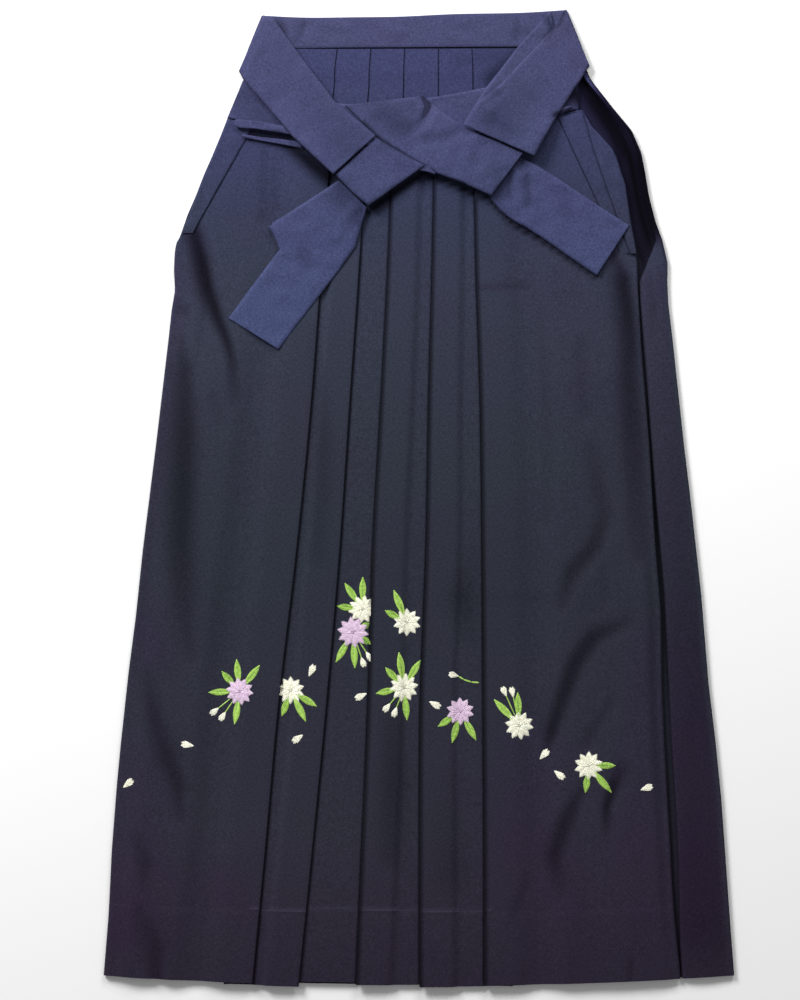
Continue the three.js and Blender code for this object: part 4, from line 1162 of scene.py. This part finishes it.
# Each leaf's flower and its tip.
LEAVES = table("flower x y", [
    (0, -0.1947, -0.1712), (0, -0.2108, -0.184), (0, -0.17, -0.1776), (0, -0.2247, -0.2065),
    (0, -0.1969, -0.2407), (1, -0.1466, -0.2322), (1, -0.1209, -0.2375), (1, -0.1091, -0.2215),
    (2, -0.0792, -0.0899), (2, -0.0599, -0.0835), (2, -0.0877, -0.1145), (3, -0.0888, -0.1744),
    (3, -0.0685, -0.1808), (3, -0.0514, -0.1552), (3, -0.0525, -0.133), (4, -0.0268, -0.0974),
    (4, -0.0364, -0.1188), (5, -0.0214, -0.1637), (5, -0.0358, -0.1798), (5, 0.0016, -0.1723),
    (5, -0.046, -0.2076), (5, -0.0128, -0.2365), (6, 0.0203, -0.2429), (6, 0.0353, -0.2605),
    (6, 0.061, -0.2579), (7, 0.0803, -0.214), (7, 0.1054, -0.2065), (8, 0.2097, -0.2846),
    (8, 0.1776, -0.3135), (8, 0.2054, -0.3135),
])
# Each bud's flower and its middle.
BUDS = table("flower x y", [
    (0, -0.2183, -0.2268), (0, -0.2097, -0.2322), (3, -0.0599, -0.1744), (3, -0.0535, -0.168),
    (5, -0.0342, -0.2226), (5, -0.0257, -0.2274), (7, 0.091, -0.2054), (7, 0.0995, -0.206),
])
# Fallen petals: heading is where the notch points, in degrees.
PETALS = table("x y heading", [
    (-0.3105, -0.3039, 40), (-0.2472, -0.2622, 170), (-0.1145, -0.183, 65), (-0.1295, -0.2557, 215),
    (-0.0621, -0.2108, 205), (0.0171, -0.2194, -28), (0.1338, -0.2729, 48), (0.1498, -0.2943, -38),
    (0.2429, -0.3082, 18),
])
LEAF_HALF_WIDTH = 0.0037
BUD_SIZE = (0.0118, 0.0088)
PETAL_SIZE = (0.0142, 0.01)
PETAL_NOTCH = 0.4           # share of a petal's half width that its notch takes
LONE_BUD = (0.037, -0.188)
LONE_STEM = [(0.0425, -0.1896), (0.048, -0.193), (0.056, -0.1956), (0.064, -0.1962)]


class Embroidery:
    """Stitches of one thread, gathered as lines and made into one mesh of thin ridges."""

    STATIONS = (0.0, 0.12, 0.5, 0.88, 1.0)
    WIDTHS = (0.35, 0.9, 1.0, 0.9, 0.35)
    RISES = (0.2, 0.85, 1.0, 0.85, 0.2)

    def __init__(self):
        self.lines = []

    def stitch(self, start, end, width=THREAD, lift=0.0, panel=None):
        """One stitch, cut off at the edges of the pleat panel it is sewn on."""
        if panel is not None:
            start, end = clip_to_panel(start, end, panel)
            if start is None:
                return
        self.lines.append((*start, *end, width, lift))

    def make(self, name, material, slot, surface):
        lines = np.array(self.lines)
        start, end, width, lift = lines[:, 0:2], lines[:, 2:4], lines[:, 4], lines[:, 5]
        heading = end - start
        length = np.maximum(np.hypot(*heading.T), 1e-6)[:, None]
        side = np.stack([-heading[:, 1], heading[:, 0]], axis=1) / length
        points = []
        for t, share, rise in zip(self.STATIONS, self.WIDTHS, self.RISES):
            place = start + heading * t
            ground = np.array([surface(x, y) for x, y in place]) + lift - 0.0001
            offset = side * (width * share / 2)[:, None]
            crest = ground + STITCH_RISE * rise + 0.0001
            for x_y, z in ((place + offset, ground), (place, crest), (place - offset, ground)):
                points.append(np.column_stack([x_y, z]))
        points = np.stack(points, axis=1).reshape(-1, 3)
        faces = []
        for first in range(0, len(points), 15):
            for k in range(first, first + 12, 3):
                faces += [(k, k + 1, k + 4, k + 3), (k + 1, k + 2, k + 5, k + 4), (k + 2, k, k + 3, k + 5)]
            faces += [(first, first + 2, first + 1), (first + 12, first + 13, first + 14)]
        finish_piece(add_mesh(name, points, faces, material, sharp=70, flip=True), slot)


def panel_limits(panel_x, y):
    """The pleat edges on either side of panel_x, at the height y."""
    edges = [-1.0] + [float(smooth(PLEATS, "y", name, np.array([y]))[0]) for name in "abcde"] + [1.0]
    return max(edge for edge in edges if edge <= panel_x), min(edge for edge in edges if edge > panel_x)


def clip_to_panel(start, end, panel):
    """The part of a stitch between two pleat edges, or None, None."""
    low, high = panel
    (x0, y0), (x1, y1) = start, end
    if max(x0, x1) <= low or min(x0, x1) >= high:
        return None, None
    shares = [0.0, 1.0]
    for limit in (low, high):
        if (x0 - limit) * (x1 - limit) < 0:
            t = (limit - x0) / (x1 - x0)
            if (x0 < limit) == (limit == low):
                shares[0] = max(shares[0], t)
            else:
                shares[1] = min(shares[1], t)
    first, last = shares
    if last - first < 0.05:
        return None, None
    return ((x0 + (x1 - x0) * first, y0 + (y1 - y0) * first),
            (x0 + (x1 - x0) * last, y0 + (y1 - y0) * last))


def step_from(origin, heading, along, across):
    """A place by its distances along and across a heading."""
    c, s = math.cos(heading), math.sin(heading)
    return origin[0] + along * c - across * s, origin[1] + along * s + across * c


def sew_flower(thread, centre, radius, turn, panel, lift):
    """Five petals of two pointed lobes, each lobe a fan of stitches, with a raised thread between petals."""
    lobe_angle = math.radians(17)
    count = 4
    for petal in range(5):
        for sign in (-1, 1):
            heading = turn + petal * 2 * math.pi / 5 + sign * lobe_angle
            for k in range(-count, count + 1):
                share = k / count
                reach = radius * (1 - 0.36 * abs(share) ** 1.35)
                thread.stitch(step_from(centre, heading, radius * 0.10, share * radius * 0.05),
                              step_from(centre, heading, reach, share * radius * 0.245),
                              THREAD * 1.12, lift + 0.00025 * (1 - abs(share)), panel)
        seam = turn + (petal + 0.5) * 2 * math.pi / 5
        thread.stitch(centre, step_from(centre, seam, radius * 0.55, 0), THREAD * 0.8, lift + 0.0005, panel)


def sew_petal(thread, centre, heading, size, panel=None):
    """A lens of stitches along its length, with a notch at its far end."""
    length, width = size
    count = 4
    for k in range(-count, count + 1):
        share = abs(k) / count
        back = -length / 2 * (1 - 0.75 * share ** 1.5)
        in_notch = share < PETAL_NOTCH
        past_notch = (share - PETAL_NOTCH) / (1 - PETAL_NOTCH)
        reach = 0.78 + 0.22 * share / PETAL_NOTCH if in_notch else 1 - 0.5 * past_notch ** 1.5
        thread.stitch(step_from(centre, heading, back, k / count * width * 0.24),
                      step_from(centre, heading, length / 2 * reach, k / count * width * 0.36),
                      THREAD, 0.0002 * (1 - share), panel)


def sew_leaf(thread, base, tip, half_width, panel):
    """Stitches slanting forward from the midrib on either side."""
    heading = math.atan2(tip[1] - base[1], tip[0] - base[0])
    length = math.hypot(tip[0] - base[0], tip[1] - base[1])
    count = 18
    for side in (-1, 1):
        for k in range(count):
            t = k / count
            outer = min(t + 0.20, 1.0)
            spread = half_width * math.sin(math.pi * outer ** 1.15) ** 0.9 if outer < 1 else 0.0
            thread.stitch(step_from(base, heading, t * length, 0),
                          step_from(base, heading, outer * length, side * spread),
                          length / count * 0.95, 0.0001 * side, panel)


def sew_stem(thread, places, panel=None, thickness=THREAD * 1.5):
    """Stitches end to end through a few places."""
    for first, second in zip(places[:-1], places[1:]):
        thread.stitch(first, second, thickness, 0.0, panel)


def embroider():
    """All the flowers, leaves, buds and fallen petals, sewn onto the front's own surface."""
    mesh = front.data
    corners = [vertex.co for vertex in mesh.vertices]
    tree = BVHTree.FromPolygons(corners, [face.vertices for face in mesh.polygons])

    def surface(x, y):
        hit = tree.ray_cast(Vector((x, y, 0.1)), Vector((0, 0, -1)))[0]
        return hit.z if hit else FRONT_LOW

    random = np.random.default_rng(7)
    white, lilac, green = Embroidery(), Embroidery(), Embroidery()
    centres = list(zip(FLOWERS["x"], FLOWERS["y"]))
    panels = [panel_limits(x, y) for x, y in centres]
    for number, x, y in zip(LEAVES["flower"].astype(int), LEAVES["x"], LEAVES["y"]):
        centre = centres[number]
        heading = math.atan2(y - centre[1], x - centre[0])
        base = step_from(centre, heading, FLOWERS["radius"][number] * 0.5, 0)
        sew_leaf(green, base, (x, y), LEAF_HALF_WIDTH, panels[number])
    for number, x, y in zip(BUDS["flower"].astype(int), BUDS["x"], BUDS["y"]):
        centre = centres[number]
        heading = math.atan2(y - centre[1], x - centre[0])
        root = step_from(centre, heading, FLOWERS["radius"][number] * 0.7, 0)
        sew_stem(green, [root, step_from((x, y), heading, -0.003, 0)], panels[number])
        sew_petal(white, (x, y), heading, BUD_SIZE, panels[number])
    for (x, y), panel, radius, is_lilac in zip(centres, panels, FLOWERS["radius"], FLOWERS["lilac"]):
        sew_flower(lilac if is_lilac else white, (x, y), radius, random.uniform(0, 2 * math.pi), panel,
                   0.0005 * is_lilac)
    for x, y, heading in zip(PETALS["x"], PETALS["y"], PETALS["heading"]):
        sew_petal(white, (x, y), math.radians(heading), PETAL_SIZE)
    sew_petal(white, LONE_BUD, math.radians(165), BUD_SIZE)
    sew_stem(green, LONE_STEM, thickness=THREAD * 2)
    white.make("embroidery_white", white_thread, "white_thread", surface)
    lilac.make("embroidery_lilac", lilac_thread, "lilac_thread", surface)
    green.make("embroidery_green", green_thread, "green_thread", surface)


embroider()


# ---------- floor, light and camera ----------

def area_light(name, place, size, power):
    """A soft window that faces the garment's middle."""
    data = bpy.data.lights.new(name, "AREA")
    data.shape = "RECTANGLE"
    data.size, data.size_y = size
    data.energy = power
    light = bpy.data.objects.new(name, data)
    light.location = place
    light.rotation_euler = (-Vector(place)).to_track_quat("-Z", "Y").to_euler()
    bpy.context.scene.collection.objects.link(light)


def build_stage():
    """A pale matt floor, an even sky and two soft windows beyond the waist."""
    bpy.ops.mesh.primitive_plane_add(size=14, location=(0, 0, -0.0005))
    floor = bpy.context.active_object
    floor.name = "floor"
    paper = bpy.data.materials.new("floor")
    paper.use_nodes = True
    shader = paper.node_tree.nodes["Principled BSDF"]
    shader.inputs["Base Color"].default_value = (0.93, 0.93, 0.93, 1)
    shader.inputs["Roughness"].default_value = 0.95
    shader.inputs["Specular IOR Level"].default_value = 0.0
    floor.data.materials.append(paper)
    world = bpy.data.worlds.new("soft")
    world.use_nodes = True
    world.node_tree.nodes["Background"].inputs["Color"].default_value = (1, 1, 1, 1)
    world.node_tree.nodes["Background"].inputs["Strength"].default_value = 0.28
    bpy.context.scene.world = world
    area_light("window", (-1.7, 2.1, 1.6), (1.1, 1.1), 120)
    area_light("far_window", (0.9, 2.7, 1.5), (1.6, 1.0), 60)


def build_camera():
    """Straight above the garment, so that a metre and seven centimetres fill the height of the view."""
    data = bpy.data.cameras.new("camera")
    distance = 2.6
    view_height = 1.07
    data.sensor_width = 36
    data.lens = data.sensor_width * distance / view_height
    camera = bpy.data.objects.new("camera", data)
    camera.location = (-0.0203, -0.0011, distance)
    bpy.context.scene.collection.objects.link(camera)
    bpy.context.scene.camera = camera


build_stage()
build_camera()
bpy.context.scene.view_settings.view_transform = "Standard"
